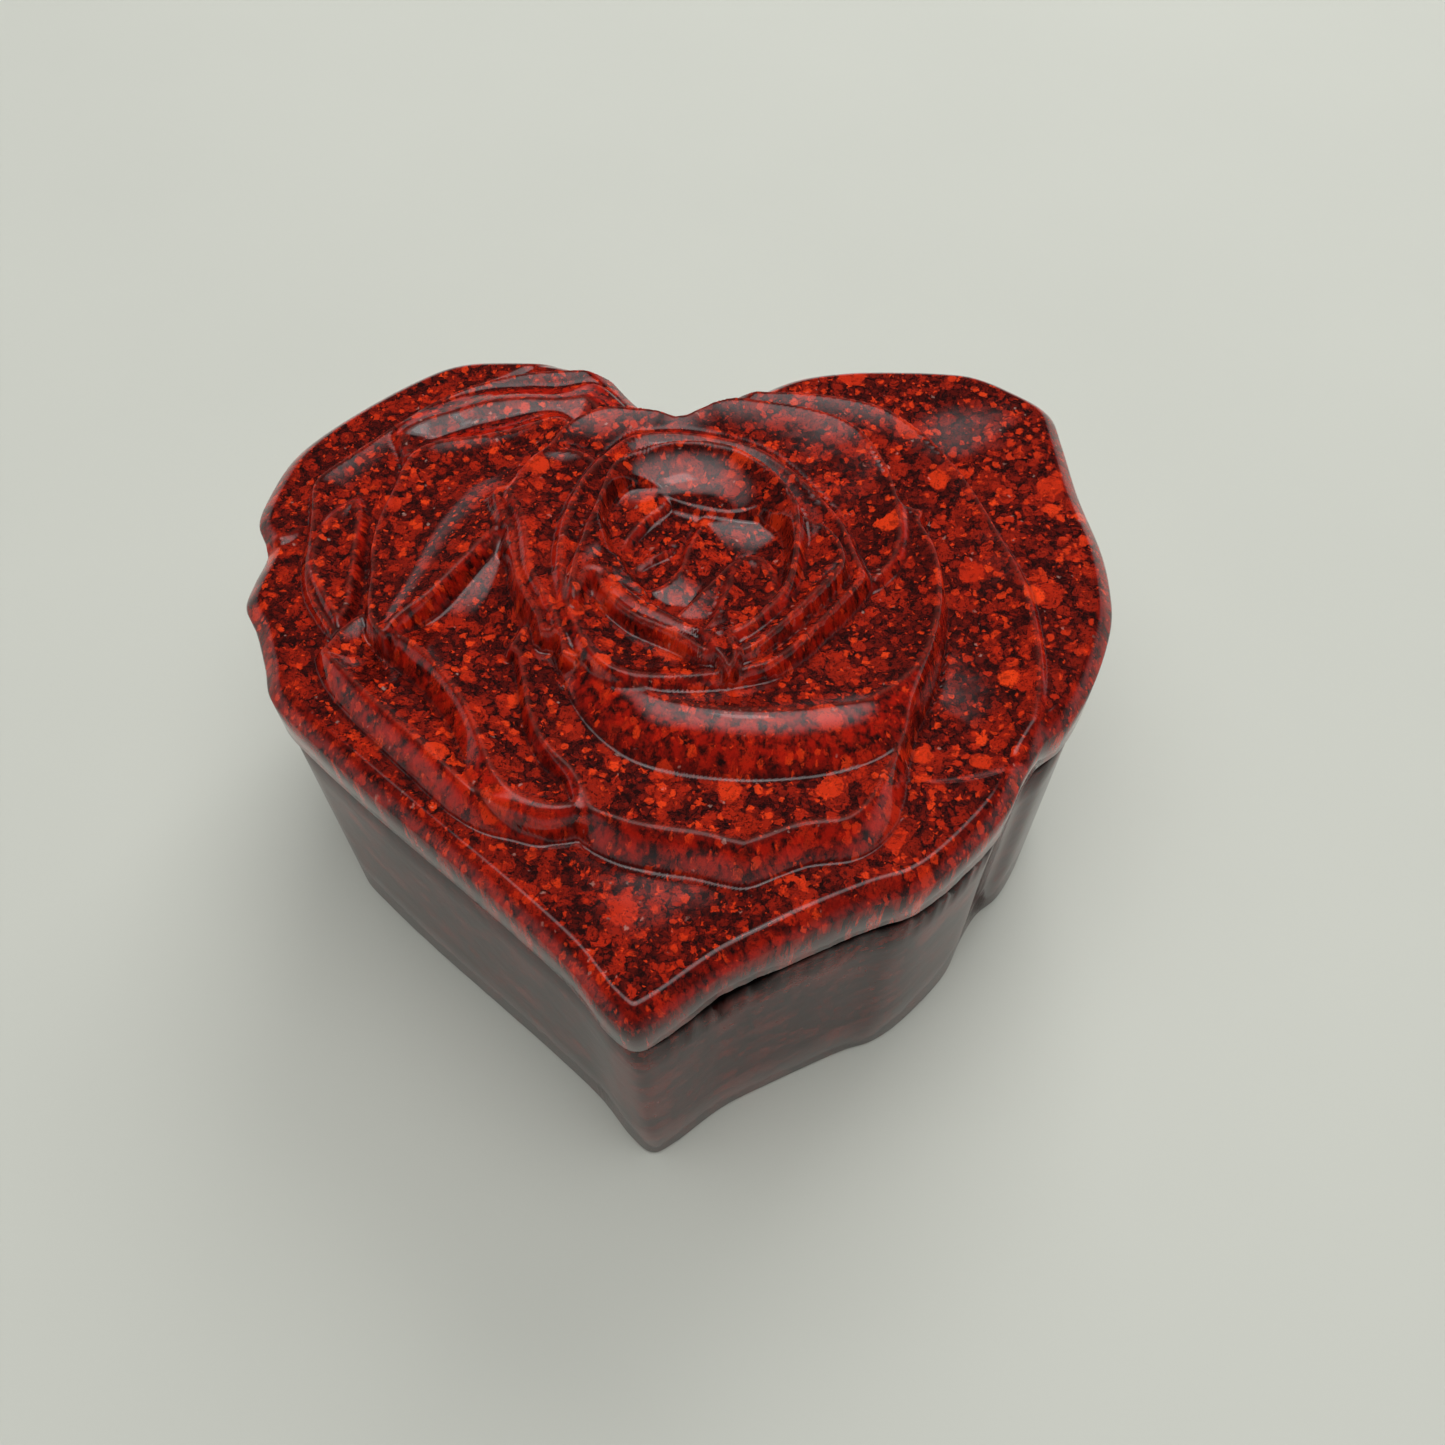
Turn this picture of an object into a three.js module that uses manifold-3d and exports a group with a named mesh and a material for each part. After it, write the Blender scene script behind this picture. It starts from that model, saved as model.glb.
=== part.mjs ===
// A heart-shaped wind-up music box with a carved rose on its hinged lid.
// Units are millimetres, +Z is up. The box stands on z = 0 and its tip points to -Y.
// The origin is under the middle of the whole object, hinge barrels included.
import * as THREE from "three";
import { mergeVertices } from "three/addons/utils/BufferGeometryUtils.js";
import Module from "manifold-3d";

const wasm = await Module();
wasm.setup();

// ---------- driving dimensions ----------
const HEART_Y = -1.9; // the heart is set forward by the hinge barrels behind it
const STEPS = 84; // points round every heart-shaped loop
const CLEAR = 0.1; // gap between two pieces that touch

const SHELL_TOP = 52.2; // top edge of the base wall
const LID_BOTTOM = 52.5; // bottom edge of the lid wall
const LID_EDGE = 64; // crest of the lid's rim
const BASE_INSET = 0.6; // the base stands this far inside the lid's outline
const WALL = 4; // base and lid wall thickness

const PANEL = { low: 10.5, high: 13.5 }; // bottom panel, above the key recess
const LEDGE = { low: 13.6, high: 15.6, width: 3 };
const FLOOR_LINING = { low: 15.7, high: 17.2 };
const LINER = { thick: 1.2, top: 55 }; // velvet-covered card round the wall
const LID_RECESS = 57.2; // ceiling of the lid's recess
const LID_LINING = { low: 55.5, high: 57.1 };

const HINGE = {
  x: { left: -31, right: 34 },
  y: 57.4,
  z: 52.35,
  radius: 1.7,
  bore: 0.9,
  pin: 0.8,
  width: 12,
  leafLength: 4.6,
  leafThick: 0.9,
  knuckle: 4,
  screwRise: 4.2,
  screwSpread: 3.6,
};

const MOVEMENT = new THREE.Vector3(2.2, 9.8, PANEL.high + CLEAR); // middle of the bedplate's underside
const BED = { x: [-29.5, 25], y: [-19.5, 19.5], thick: 2.2 };
const BARREL = { x: 13.5, y: 6, radius: 10.5, low: 3.9, high: 11.6, wall: 0.8 };
const CROWN = { teeth: 36, radius: 9.5, height: 1.2, face: 1.5, tip: 0.42, root: 0.62 };
const ARBOR_RADIUS = 1.6;
// pinion on the cylinder's arbor
const DRIVE = { teeth: 12, low: 3.2, high: 4.8, addendum: 0.5, dedendum: 0.65 };
DRIVE.radius = (CROWN.radius * DRIVE.teeth) / CROWN.teeth;
const PITCH_Z = BARREL.high + CROWN.height / 2;
const AXIS_Z = PITCH_Z + DRIVE.radius; // height of the cylinder's axis
const CYLINDER = { radius: 6, low: -18.8, high: 2.4, wall: 0.9, arbor: 1.0, pivot: 0.7 };
const WHEEL = { teeth: 36, radius: 6.75, low: -20.5, high: -19.3, addendum: 0.36, dedendum: 0.5 };
const PINION = { teeth: 9, addendum: 0.36, dedendum: 0.5 };
PINION.radius = (WHEEL.radius * PINION.teeth) / WHEEL.teeth;
const GOVERNOR_TILT = THREE.MathUtils.degToRad(-24);
const GOVERNOR = {
  y: BARREL.y + (WHEEL.radius + PINION.radius) * Math.cos(GOVERNOR_TILT),
  z: AXIS_Z + (WHEEL.radius + PINION.radius) * Math.sin(GOVERNOR_TILT),
};
const WORM_WHEEL = { teeth: 20, radius: 3.2, addendum: 0.26, dedendum: 0.42, foot: 0.42, x: -25.2, thick: 1 };
const WORM = { radius: 1.0, core: 0.66, tip: 1.28, turns: 4 };
WORM.lead = (2 * Math.PI * WORM_WHEEL.radius) / WORM_WHEEL.teeth;
WORM.y = GOVERNOR.y - WORM_WHEEL.radius - WORM.radius;
const FAN = { low: 17.6, high: 21.2, reach: 3.4 };
const PLUNGER = { x: -22.6, radius: 0.8, collar: 1.7, low: FAN.high + 0.3, top: 55.3 };
const COMB = {
  teeth: 18,
  pitch: 1.15,
  width: 0.8,
  tip: -0.7,
  root: -11.5,
  back: -18,
  side: 0.8,
  thick: 1.0,
  screws: [-14, -2.4],
  screwY: -15,
};
const BRIDGE = { x: [7.2, 18], front: -6.6, back: 18.4, low: 14.2, high: 15.8 };
const FRAME = {
  arm: [-26.3, -24.1],
  cheeks: [[-28.9, -27.9], [-23.4, -22.5]],
  wall: [17.8, 19.3],
  top: 23.6,
};
const SPRING = { turns: 5, strip: 0.3, inner: 3.2, outer: 9.2, height: 5 };
const KEY = { low: 1.4, high: 9.2, reach: 10.6, thick: 1.6, hub: 3, foot: 1.6 };
const COVER = { x: [-31, 26.5], y: [-21, 21], top: 40.6, wall: 1.2 };

// ---------- the heart outline ----------
// [x, y] round the lid's edge, clockwise from the notch: two lobes, a tip and wavy petal ends.
const OUTLINE = [
  [-1.5, 42.5], [-5, 44], [-9, 47.6], [-13.5, 52.4], [-18, 55.6], [-24, 57.2], [-31, 57.6], [-38, 57],
  [-44, 54.3], [-52, 48.2], [-59, 41], [-63, 34.5], [-65, 26.5], [-65.2, 21], [-62.8, 15.6], [-63.7, 10],
  [-64, 5.5], [-61.5, 1], [-59, -5], [-57, -10.5], [-52, -15.5], [-42, -24], [-28.5, -34.7], [-20, -41.5],
  [-11.5, -48.8], [-6, -55], [-2, -57.6], [2, -55.7], [9.5, -49.7], [17.5, -45.3], [28.5, -39.8],
  [34.5, -37.5], [40, -33.3], [47, -25.5], [50.5, -18.5], [53.5, -13.7], [57.5, -10], [61.5, -3],
  [64.6, 6], [65.2, 13], [64.6, 21], [62.3, 31.5], [60.7, 42], [59, 48.5], [53, 52.8], [47, 56],
  [41, 57.2], [34, 57.6], [26, 57.2], [18, 55.4], [12, 52], [7.5, 48], [3, 44.6],
];

// ---------- the rose: petals from the lowest to the highest ----------
// Each petal is a closed line of [x, y, crest height]. The surface climbs from whatever lies below to the
// crest over `rise`, then dips by `dish` over about `reach` towards the middle.
const PETALS = [
  { // the second ring: both lobes
    rise: 1.2, dish: 1.6, reach: 7,
    line: [
      [53, -16, 63.6], [54.5, -8, 64.6], [54.7, 1, 65.6], [53.3, 10, 66], [51, 17.5, 66.2], [48, 26, 66.4],
      [44, 34.5, 66.6], [40, 41, 66.6], [35, 45.7, 66.6], [29, 48.2, 66.6], [20, 49.7, 66.6], [11, 50, 66.6],
      [-1, 50, 67], [-14, 53.5, 66.4], [-22, 54, 66.2], [-30, 53, 66], [-36, 50.5, 66], [-42, 46, 66],
      [-48, 40, 66], [-54, 34, 66], [-57.6, 30, 66], [-58.5, 26, 66], [-57.6, 20, 66], [-57.4, 14, 66],
      [-57, 9.5, 66], [-55, 5, 65.8], [-52, 1, 65.4], [-49, -3, 64.4], [-30, -8, 64], [0, -12, 64],
      [35, -18, 63.6],
    ],
  },
  { // lower leaf of the left front
    rise: 2.3, dish: 2.6, reach: 5,
    line: [
      [-50.3, -3, 66.6], [-50.5, -5.8, 67.2], [-48.5, -9.5, 67.6], [-45, -13.8, 68], [-40, -18.8, 68],
      [-34, -24, 68], [-30, -27.3, 68], [-26, -29.8, 68], [-22, -31.3, 68], [-17, -31.8, 67.5],
      [-10, -32, 67], [-8, -26, 67], [-20, -10, 66], [-30, 6, 66], [-44, 4, 66],
    ],
  },
  { // upper leaf of the left front
    rise: 1.9, dish: 2.2, reach: 6,
    line: [
      [-43, 1, 68.4], [-41, -3.2, 69], [-37, -7.3, 69.4], [-32.5, -13.4, 69.6], [-29.5, -18.6, 69.6],
      [-27.2, -23.6, 69.4], [-23.5, -28, 69.2], [-17.5, -30.2, 69], [-10.5, -30, 68.8], [-8, -22, 69],
      [-16, 0, 69], [-24, 20, 69.5], [-32, 14, 69.4],
    ],
  },
  { // broad petal of the left lobe
    rise: 1.4, dish: 1.8, reach: 9,
    line: [
      [-40, 36, 68.2], [-44.5, 31, 68], [-46.6, 22, 68], [-46.8, 14, 68.4], [-46, 7, 69], [-45, 2.5, 69.6],
      [-43, -1.2, 70], [-41, -1.4, 70.4], [-38.6, 1.4, 70.6], [-34.2, 7.2, 70.8], [-30.4, 12.6, 70.8],
      [-26.6, 17, 70.6], [-20, 22, 70], [-18, 40, 69.4], [-22, 45, 69], [-32, 40.4, 68.6],
    ],
  },
  { // front terrace
    rise: 2.4, dish: 1.4, reach: 6,
    line: [
      [-22.5, -3, 69.6], [-21.6, -10.5, 69.8], [-20.4, -14.8, 69.8], [-18, -19, 69.6], [-14, -22.8, 69.2],
      [-12, -26, 68.8], [-11, -31, 68.4], [-8.5, -33.6, 68], [-4, -35.6, 68], [3, -36.5, 68.2],
      [8, -37, 68.4], [12, -38, 68.4], [15.5, -36.6, 68.4], [20, -34.8, 68.4], [25.5, -33.4, 68.4],
      [29.5, -31, 68.2], [32, -28, 68], [33.2, -24, 67.6], [34, -16, 68], [36, -4, 69], [20, 20, 69],
      [-10, 20, 69],
    ],
  },
  { // big front petal, bulging
    rise: 6, dish: 3, reach: 5,
    line: [
      [-25.5, 14, 71], [-23.5, 6, 71.4], [-20.5, 0, 71.8], [-18, -5.6, 72.2], [-14.5, -11.2, 72.6],
      [-10.5, -15.8, 72.8], [-6, -19.2, 72.8], [0, -21.4, 72.8], [8, -22.6, 72.8], [16, -22.2, 72.6],
      [23, -20.8, 72.4], [28.5, -19, 72], [32.6, -16.4, 71.4], [35, -11.6, 71.2], [38, -5, 71], [39.8, 1, 71],
      [40.4, 7, 70.8], [39.8, 12.6, 70.6], [37.8, 18.4, 70.2], [35.4, 24, 69.8], [10, 30, 70],
      [-15, 25, 70.6],
    ],
  },
  { // back ring petal, reaching the notch
    rise: 1.8, dish: 2.2, reach: 7,
    line: [
      [27, 8.6, 70.4], [31.4, 11.6, 70.4], [34, 15.6, 70.4], [35.4, 21, 70.6], [35, 27, 71],
      [33.4, 32.5, 71.4],
      [31, 37, 71.8], [27.6, 40.6, 72], [22.6, 43, 72], [15, 44.6, 72], [8, 45.6, 72], [2, 47, 72],
      [-8, 47, 72],
      [-13, 43.8, 72], [-18, 41.6, 71.8], [-21.4, 38.6, 71.6], [-24.4, 33, 71.6], [-27.4, 28, 71.6],
      [-28.8, 25, 71.8], [-27.6, 21.4, 72], [-25.4, 16.4, 72.4], [-23.6, 10.6, 72.6], [-20.6, 5, 72.8],
      [-18, 0, 73], [-15.5, -3.5, 73], [-5, 0, 71], [12, 2, 70.4],
    ],
  },
  { // bowl round the bud
    rise: 2.2, dish: 3, reach: 3,
    line: [
      [-16.8, 12, 74], [-17, 6, 74], [-15.8, -0.6, 74], [-13, -5.6, 73.8], [-9, -9.2, 73.6],
      [-4, -11.2, 73.6],
      [2, -11.4, 73.6], [8, -9.6, 73.4], [14, -6.4, 73.2], [19.4, -2.8, 73], [23.4, 1.4, 72.8], [27, 5, 72.6],
      [29.4, 9, 72.4], [27, 13.4, 72.4], [20, 20, 73], [0, 30, 74], [-12, 24, 74],
    ],
  },
  { // outer petal of the bud, right and front
    rise: 1.6, dish: 2.6, reach: 3,
    line: [
      [-13, 14, 75], [-12.4, 8.6, 75], [-10.4, 4, 75], [-7, 0.2, 75], [-3, -2.4, 75], [1, -4.4, 75],
      [5, -6.4, 75],
      [9, -7.2, 75], [13, -5.6, 75], [17, -2.6, 75], [21, 1, 75], [24, 4.8, 75], [25.4, 8.6, 75],
      [24.8, 12.6, 75],
      [22, 16, 75], [16, 20, 75], [0, 24, 75],
    ],
  },
  { // inner petal of the bud, back and left
    rise: 1.5, dish: 7, reach: 4,
    line: [
      [-13.4, -7.6, 73], [-14.6, -2, 75.4], [-15, 4.6, 76], [-14.4, 11, 76], [-12.8, 17, 76], [-11, 23, 76],
      [-8, 27, 76], [-3.6, 29, 76], [2, 29.8, 76], [7.6, 28.8, 76], [12.6, 26, 76], [16.2, 21.6, 76],
      [18, 16, 76], [18.2, 10.4, 76], [16.6, 4, 75.6], [13, -1.6, 75.2], [8, -4.2, 75], [2, -2.4, 75],
      [-3.6, 0.2, 75], [-8, 3.4, 75], [-10.6, 6, 75], [-12, -1, 75],
    ],
  },
  { // heart of the bud
    rise: 2.6, dish: 0.6, reach: 4,
    line: [
      [-7.6, 6, 70.6], [-7.2, 11, 71.6], [-4.4, 15.4, 72.4], [0, 17.4, 72.8], [5, 16.8, 72.6],
      [10, 16.6, 72.4],
      [12.4, 14, 72], [13.4, 9, 71.6], [11.6, 3, 71.6], [8, -0.6, 72], [2.4, 0.2, 72.4], [-3, 2.6, 71.4],
    ],
  },
];

// Swells and hollows of the petals: [x, y, radius, height].
const SWELLS = [
  [52, 36, 13, 1.2], [60, 12, 11, 0.8], [-38, 48, 9, -1], [-36, 14, 9, 0.9], [-58, 6, 6, 0.6],
  [44, 22, 8, 0.8], [3, -48, 9, -0.8], [-38, -32, 8, -0.5], [44, -20, 9, 0.7],
];
const GENTLEST = 3.2; // no petal's flank is narrower than this
const RIM = { dish: 1.4, reach: 4, round: 2.2, drop: 1.76 }; // the rounded rim and the hollow behind it

// ---------- small geometry helpers ----------
const TAU = Math.PI * 2;

function smooth(t) {
  const c = THREE.MathUtils.clamp(t, 0, 1);
  return c * c * (3 - 2 * c);
}

// A closed line through the points, as spline samples.
function closedLine(points, perSpan) {
  const corners = points.map(([x, y, z = 0]) => new THREE.Vector3(x, y, z));
  const path = new THREE.CatmullRomCurve3(corners, true, "centripetal");
  return path.getPoints(points.length * perSpan).slice(0, -1);
}

// Distance to a closed line (positive inside), and the line's height blended from what is near.
function probe(line, x, y) {
  let nearest = Infinity;
  let inside = false;
  let sum = 0;
  let total = 0;
  let a = line[line.length - 1];
  for (const b of line) {
    const dx = b.x - a.x;
    const dy = b.y - a.y;
    const along = ((x - a.x) * dx + (y - a.y) * dy) / (dx * dx + dy * dy || 1);
    const t = THREE.MathUtils.clamp(along, 0, 1);
    const gap = Math.hypot(x - a.x - t * dx, y - a.y - t * dy);
    const weight = 1 / (gap * gap + 1) ** 2;
    nearest = Math.min(nearest, gap);
    sum += weight * (a.z + t * (b.z - a.z));
    total += weight;
    if (a.y > y !== b.y > y && x < (dx * (y - a.y)) / dy + a.x) inside = !inside;
    a = b;
  }
  return { depth: inside ? nearest : -nearest, height: sum / total };
}

const outline = closedLine(OUTLINE, 5);
const petals = PETALS.map((petal) => ({ ...petal, line: closedLine(petal.line, 3) }));
const heartCentre = new THREE.Vector2(1, 4);
const angles = Array.from({ length: STEPS }, (_, i) => (i / STEPS) * TAU);

// How far out from the heart's centre, at this angle, a point is still `inset` inside the outline.
function reachAt(angle, inset) {
  const dx = Math.cos(angle);
  const dy = Math.sin(angle);
  let low = 0;
  let high = 90;
  while (high - low > 0.005) {
    const middle = (low + high) / 2;
    const at = probe(outline, heartCentre.x + dx * middle, heartCentre.y + dy * middle);
    if (at.depth > inset) low = middle;
    else high = middle;
  }
  return low;
}

// The point at this angle and distance from the heart's centre, in the object's frame.
function heartPoint(angle, r, z) {
  return new THREE.Vector3(
    heartCentre.x + Math.cos(angle) * r,
    heartCentre.y + Math.sin(angle) * r + HEART_Y,
    z,
  );
}

// A heart-shaped loop `inset` inside the lid's outline, at height z.
function heartLoop(inset, z) {
  return angles.map((angle) => heartPoint(angle, reachAt(angle, inset), z));
}

// Height of the carved lid at a point of the heart.
function roseHeight(x, y) {
  const rim = probe(outline, x, y).depth;
  let z = LID_EDGE - RIM.dish * (1 - Math.exp(-Math.max(0, rim - RIM.round) / RIM.reach));
  for (const [sx, sy, radius, height] of SWELLS) {
    z += height * Math.exp(-((x - sx) ** 2 + (y - sy) ** 2) / radius ** 2);
  }
  for (const petal of petals) {
    const { depth, height } = probe(petal.line, x, y);
    if (depth <= 0) continue;
    const rise = Math.max(petal.rise, GENTLEST);
    const top = height - petal.dish * (1 - Math.exp(-Math.max(0, depth - rise) / petal.reach));
    z += (top - z) * smooth(depth / rise);
  }
  const curl = Math.max(0, 1 - Math.max(0, rim) / RIM.round);
  return z - RIM.drop * (1 - Math.sqrt(1 - curl * curl));
}

// The triangles between two neighbouring loops of n points that start at these indices.
function bandFaces(first, second, n) {
  const faces = [];
  for (let i = 0; i < n; i++) {
    const j = (i + 1) % n;
    faces.push(first + i, first + j, second + j);
    faces.push(first + i, second + j, second + i);
  }
  return faces;
}

// The triangles that close a loop onto a middle point.
function capFaces(first, middle, n, flip) {
  const faces = [];
  for (let i = 0; i < n; i++) {
    const a = first + i;
    const b = first + ((i + 1) % n);
    faces.push(...(flip ? [b, a, middle] : [a, b, middle]));
  }
  return faces;
}

// A closed body from loops of equal length: capped at both ends, or joined last to first.
function loft(loops, joined = false) {
  const n = loops[0].length;
  const last = loops.length - 1;
  const points = loops.flat();
  const index = [];
  for (let row = 0; row < last; row++) index.push(...bandFaces(row * n, (row + 1) * n, n));
  if (joined) {
    index.push(...bandFaces(last * n, 0, n));
  } else {
    for (const row of [0, last]) {
      const middle = new THREE.Vector3();
      loops[row].forEach((p) => middle.addScaledVector(p, 1 / n));
      index.push(...capFaces(row * n, points.length, n, row === 0));
      points.push(middle);
    }
  }
  const made = new THREE.BufferGeometry().setFromPoints(points);
  made.setIndex(index);
  return made;
}

// manifold-3d solids for joins and cuts
function solid(geometry) {
  const plain = geometry.clone();
  plain.deleteAttribute("normal");
  plain.deleteAttribute("uv");
  const merged = mergeVertices(plain, 1e-4);
  return new wasm.Manifold(new wasm.Mesh({
    numProp: 3,
    vertProperties: new Float32Array(merged.attributes.position.array),
    triVerts: new Uint32Array(merged.index.array),
  }));
}

function geometryOf(body) {
  const mesh = body.getMesh();
  const made = new THREE.BufferGeometry();
  made.setAttribute("position", new THREE.BufferAttribute(new Float32Array(mesh.vertProperties), 3));
  made.setIndex(new THREE.BufferAttribute(new Uint32Array(mesh.triVerts), 1));
  return made;
}

function join(...shapes) {
  return geometryOf(shapes.map(solid).reduce((a, b) => a.add(b)));
}

function cut(shape, ...tools) {
  return geometryOf(tools.map(solid).reduce((a, b) => a.subtract(b), solid(shape)));
}

function block([x0, x1], [y0, y1], [z0, z1]) {
  const made = new THREE.BoxGeometry(x1 - x0, y1 - y0, z1 - z0);
  return made.translate((x0 + x1) / 2, (y0 + y1) / 2, (z0 + z1) / 2);
}

// a round bar along Z, standing on (x, y), from z0 to z1
function bar(radius, x, y, z0, z1, sides = 20) {
  const made = new THREE.CylinderGeometry(radius, radius, z1 - z0, sides);
  return made.rotateX(Math.PI / 2).translate(x, y, (z0 + z1) / 2);
}

// the same along X, through (y, z)
function barX(radius, y, z, x0, x1, sides = 20) {
  const made = new THREE.CylinderGeometry(radius, radius, x1 - x0, sides);
  return made.rotateZ(Math.PI / 2).translate((x0 + x1) / 2, y, z);
}

// A body turned round a vertical axis from [radius, z] pairs.
function turned(pairs, sides, x, y) {
  const profile = pairs.map(([r, z]) => new THREE.Vector2(r, z));
  return new THREE.LatheGeometry(profile, sides).rotateX(Math.PI / 2).translate(x, y, 0);
}

function ring(inner, outer, x, y, z0, z1, sides = 32) {
  return turned([[inner, z0], [outer, z0], [outer, z1], [inner, z1], [inner, z0]], sides, x, y);
}

function extrude(shape, depth) {
  return new THREE.ExtrudeGeometry(shape, { depth, bevelEnabled: false, curveSegments: 10 });
}

function polygon(points) {
  return new THREE.Shape(points.map(([x, y]) => new THREE.Vector2(x, y)));
}

// A round wire wound `turns` times at `coil` radius round (x, y), from z0 up to z1.
function spring(coil, wire, turns, x, y, z0, z1) {
  const path = new THREE.Curve();
  path.getPoint = (t, target = new THREE.Vector3()) => {
    const a = t * turns * TAU;
    return target.set(x + coil * Math.cos(a), y + coil * Math.sin(a), z0 + t * (z1 - z0));
  };
  const sides = 6;
  const round = Array.from({ length: sides }, (_, i) => (i * TAU) / sides);
  const section = polygon(round.map((a) => [wire * Math.cos(a), wire * Math.sin(a)]));
  return new THREE.ExtrudeGeometry(section, { steps: Math.round(turns * 10), extrudePath: path });
}

// A countersunk slotted screw with its head's face at z, pointing down from it (or up if `up` is 1).
function screw(x, y, z, length, up, radius, head) {
  const flank = 0.5 + head - radius;
  const pairs = [
    [0, 0], [head, 0], [head, up * 0.5], [radius, up * flank], [radius, up * length],
    [0, up * (length + radius)],
  ];
  if (up < 0) pairs.reverse();
  const body = turned(pairs, 12, x, y).translate(0, 0, z);
  return cut(body, block([x - head, x + head], [y - 0.25, y + 0.25], [z - 0.35, z + 0.35]));
}

// A spur gear's outline with straight-sided teeth, the first centred on angle `phase`.
// foot and tip are a tooth's widths as shares of the pitch.
function gearShape({ teeth, radius, addendum, dedendum, foot = 0.46, tip = 0.2 }, phase) {
  const pitch = TAU / teeth;
  const tooth = [
    [radius - dedendum, -foot / 2], [radius + addendum, -tip / 2],
    [radius + addendum, tip / 2], [radius - dedendum, foot / 2],
  ];
  const points = [];
  for (let i = 0; i < teeth; i++) {
    for (const [r, share] of tooth) {
      const a = phase + (i + share) * pitch;
      points.push([r * Math.cos(a), r * Math.sin(a)]);
    }
  }
  return polygon(points);
}

// A gear on an axis along +X through (y, z): its shape's x is turned to +Y and its y to +Z.
function gearOnX(shape, y, z, x0, x1) {
  const axes = [new THREE.Vector3(0, 1, 0), new THREE.Vector3(0, 0, 1), new THREE.Vector3(1, 0, 0)];
  const turn = new THREE.Matrix4().makeBasis(...axes);
  return extrude(shape, x1 - x0).applyMatrix4(turn).translate(x0, y, z);
}

// ---------- the assembly ----------
const box = new THREE.Group();
const movement = new THREE.Group();
movement.position.copy(MOVEMENT);
box.add(movement);

function finish(color, roughness, metalness = 0) {
  return new THREE.MeshStandardMaterial({ color, roughness, metalness });
}

const LACQUER = finish(0x6e1410, 0.12);
const VELVET = finish(0x3a0a12, 0.95);
const BOARD = finish(0x1b1513, 0.8);
const BRASS = finish(0xb58b3c, 0.3, 0.9);
const STEEL = finish(0xa8abad, 0.3, 0.9);
const ZINC = finish(0x8d8f90, 0.45, 0.8);
const CLEAR_PLASTIC = finish(0xdfe8ea, 0.08);

function put(name, geometry, material, parent = box) {
  const mesh = new THREE.Mesh(geometry, material);
  mesh.name = name;
  parent.add(mesh);
}

// ----- the case -----
const CAVITY = BASE_INSET + WALL; // inset of the base's inner wall
const SLACK = 0.3; // plates are cut this much smaller than the hollow they lie in
const EDGE_INSET = 0.02; // keeps the rim's points just inside the outline

function lidShell() {
  const shares = [
    0.08, 0.16, 0.23, 0.3, 0.37, 0.44, 0.51, 0.58, 0.65, 0.72, 0.79, 0.86, 0.92, 0.97, 1,
  ];
  const edge = angles.map((angle) => reachAt(angle, EDGE_INSET));
  const carved = shares.map((share) => angles.map((angle, i) => {
    const point = heartPoint(angle, edge[i] * share, 0);
    point.z = roseHeight(point.x, point.y - HEART_Y);
    return point;
  }));
  return loft([
    heartLoop(WALL, LID_RECESS),
    heartLoop(WALL, LID_BOTTOM),
    heartLoop(EDGE_INSET, LID_BOTTOM),
    ...carved.reverse(),
  ]);
}

function heartPlate(inset, z0, z1) {
  return loft([heartLoop(inset, z0), heartLoop(inset, z1)]);
}

// wall, ledge and skirt in one casting
function baseShell() {
  const ledge = CAVITY + LEDGE.width;
  return loft([
    heartLoop(BASE_INSET, 0), heartLoop(BASE_INSET, SHELL_TOP), heartLoop(CAVITY, SHELL_TOP),
    heartLoop(CAVITY, LEDGE.high), heartLoop(ledge, LEDGE.high), heartLoop(ledge, LEDGE.low),
    heartLoop(CAVITY, LEDGE.low), heartLoop(CAVITY, 0),
  ], true);
}

function wallLining() {
  const outer = CAVITY + CLEAR;
  const inner = outer + LINER.thick;
  const foot = FLOOR_LINING.high + CLEAR;
  return loft([
    heartLoop(outer, foot), heartLoop(outer, LINER.top),
    heartLoop(inner, LINER.top), heartLoop(inner, foot),
  ], true);
}

// The panel's screws go up into the ledge, midway across it, near these places.
const panelScrews = [[-44, -2], [44, -2], [-30, 40], [32, 40]].map(([x, y]) => {
  const angle = Math.atan2(y - heartCentre.y, x - heartCentre.x);
  return heartPoint(angle, reachAt(angle, CAVITY + 1.9), PANEL.low);
});
const bedScrews = [[-26, -16], [21.5, -16], [0, 17]];

function bottomPanel() {
  const bore = (radius, x, y) => bar(radius, x, y, PANEL.low - 1, PANEL.high + 1, 16);
  const bores = [
    bore(6, MOVEMENT.x + BARREL.x, MOVEMENT.y + BARREL.y),
    ...bedScrews.map(([x, y]) => bore(1.6, MOVEMENT.x + x, MOVEMENT.y + y)),
    ...panelScrews.map(({ x, y }) => bore(1.9, x, y)),
  ];
  return cut(heartPlate(CAVITY + SLACK, PANEL.low, PANEL.high), ...bores);
}

function floorLining() {
  const grown = ([low, high], shift) => [low + shift - 0.4, high + shift + 0.4];
  const hole = block(grown(COVER.x, MOVEMENT.x), grown(COVER.y, MOVEMENT.y), [10, 20]);
  return cut(heartPlate(CAVITY + SLACK, FLOOR_LINING.low, FLOOR_LINING.high), hole);
}

put("base_shell", baseShell(), LACQUER);
put("bottom_panel", bottomPanel(), BOARD);
panelScrews.forEach(({ x, y, z }, i) => {
  put(`panel_screw_${i + 1}`, screw(x, y, z, PANEL.high - PANEL.low - 1, 1, 1.1, 1.8), STEEL);
});
put("floor_lining", floorLining(), VELVET);
put("wall_lining", wallLining(), VELVET);
put("lid_shell", lidShell(), LACQUER);
put("lid_lining", heartPlate(WALL + SLACK, LID_LINING.low, LID_LINING.high), VELVET);

// ----- hinges -----
const leafBack = HINGE.y - HINGE.radius + CLEAR; // face of a leaf that lies on the wall
const leafFace = leafBack + HINGE.leafThick;

function between(a, b) {
  return [Math.min(a, b), Math.max(a, b)];
}

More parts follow.
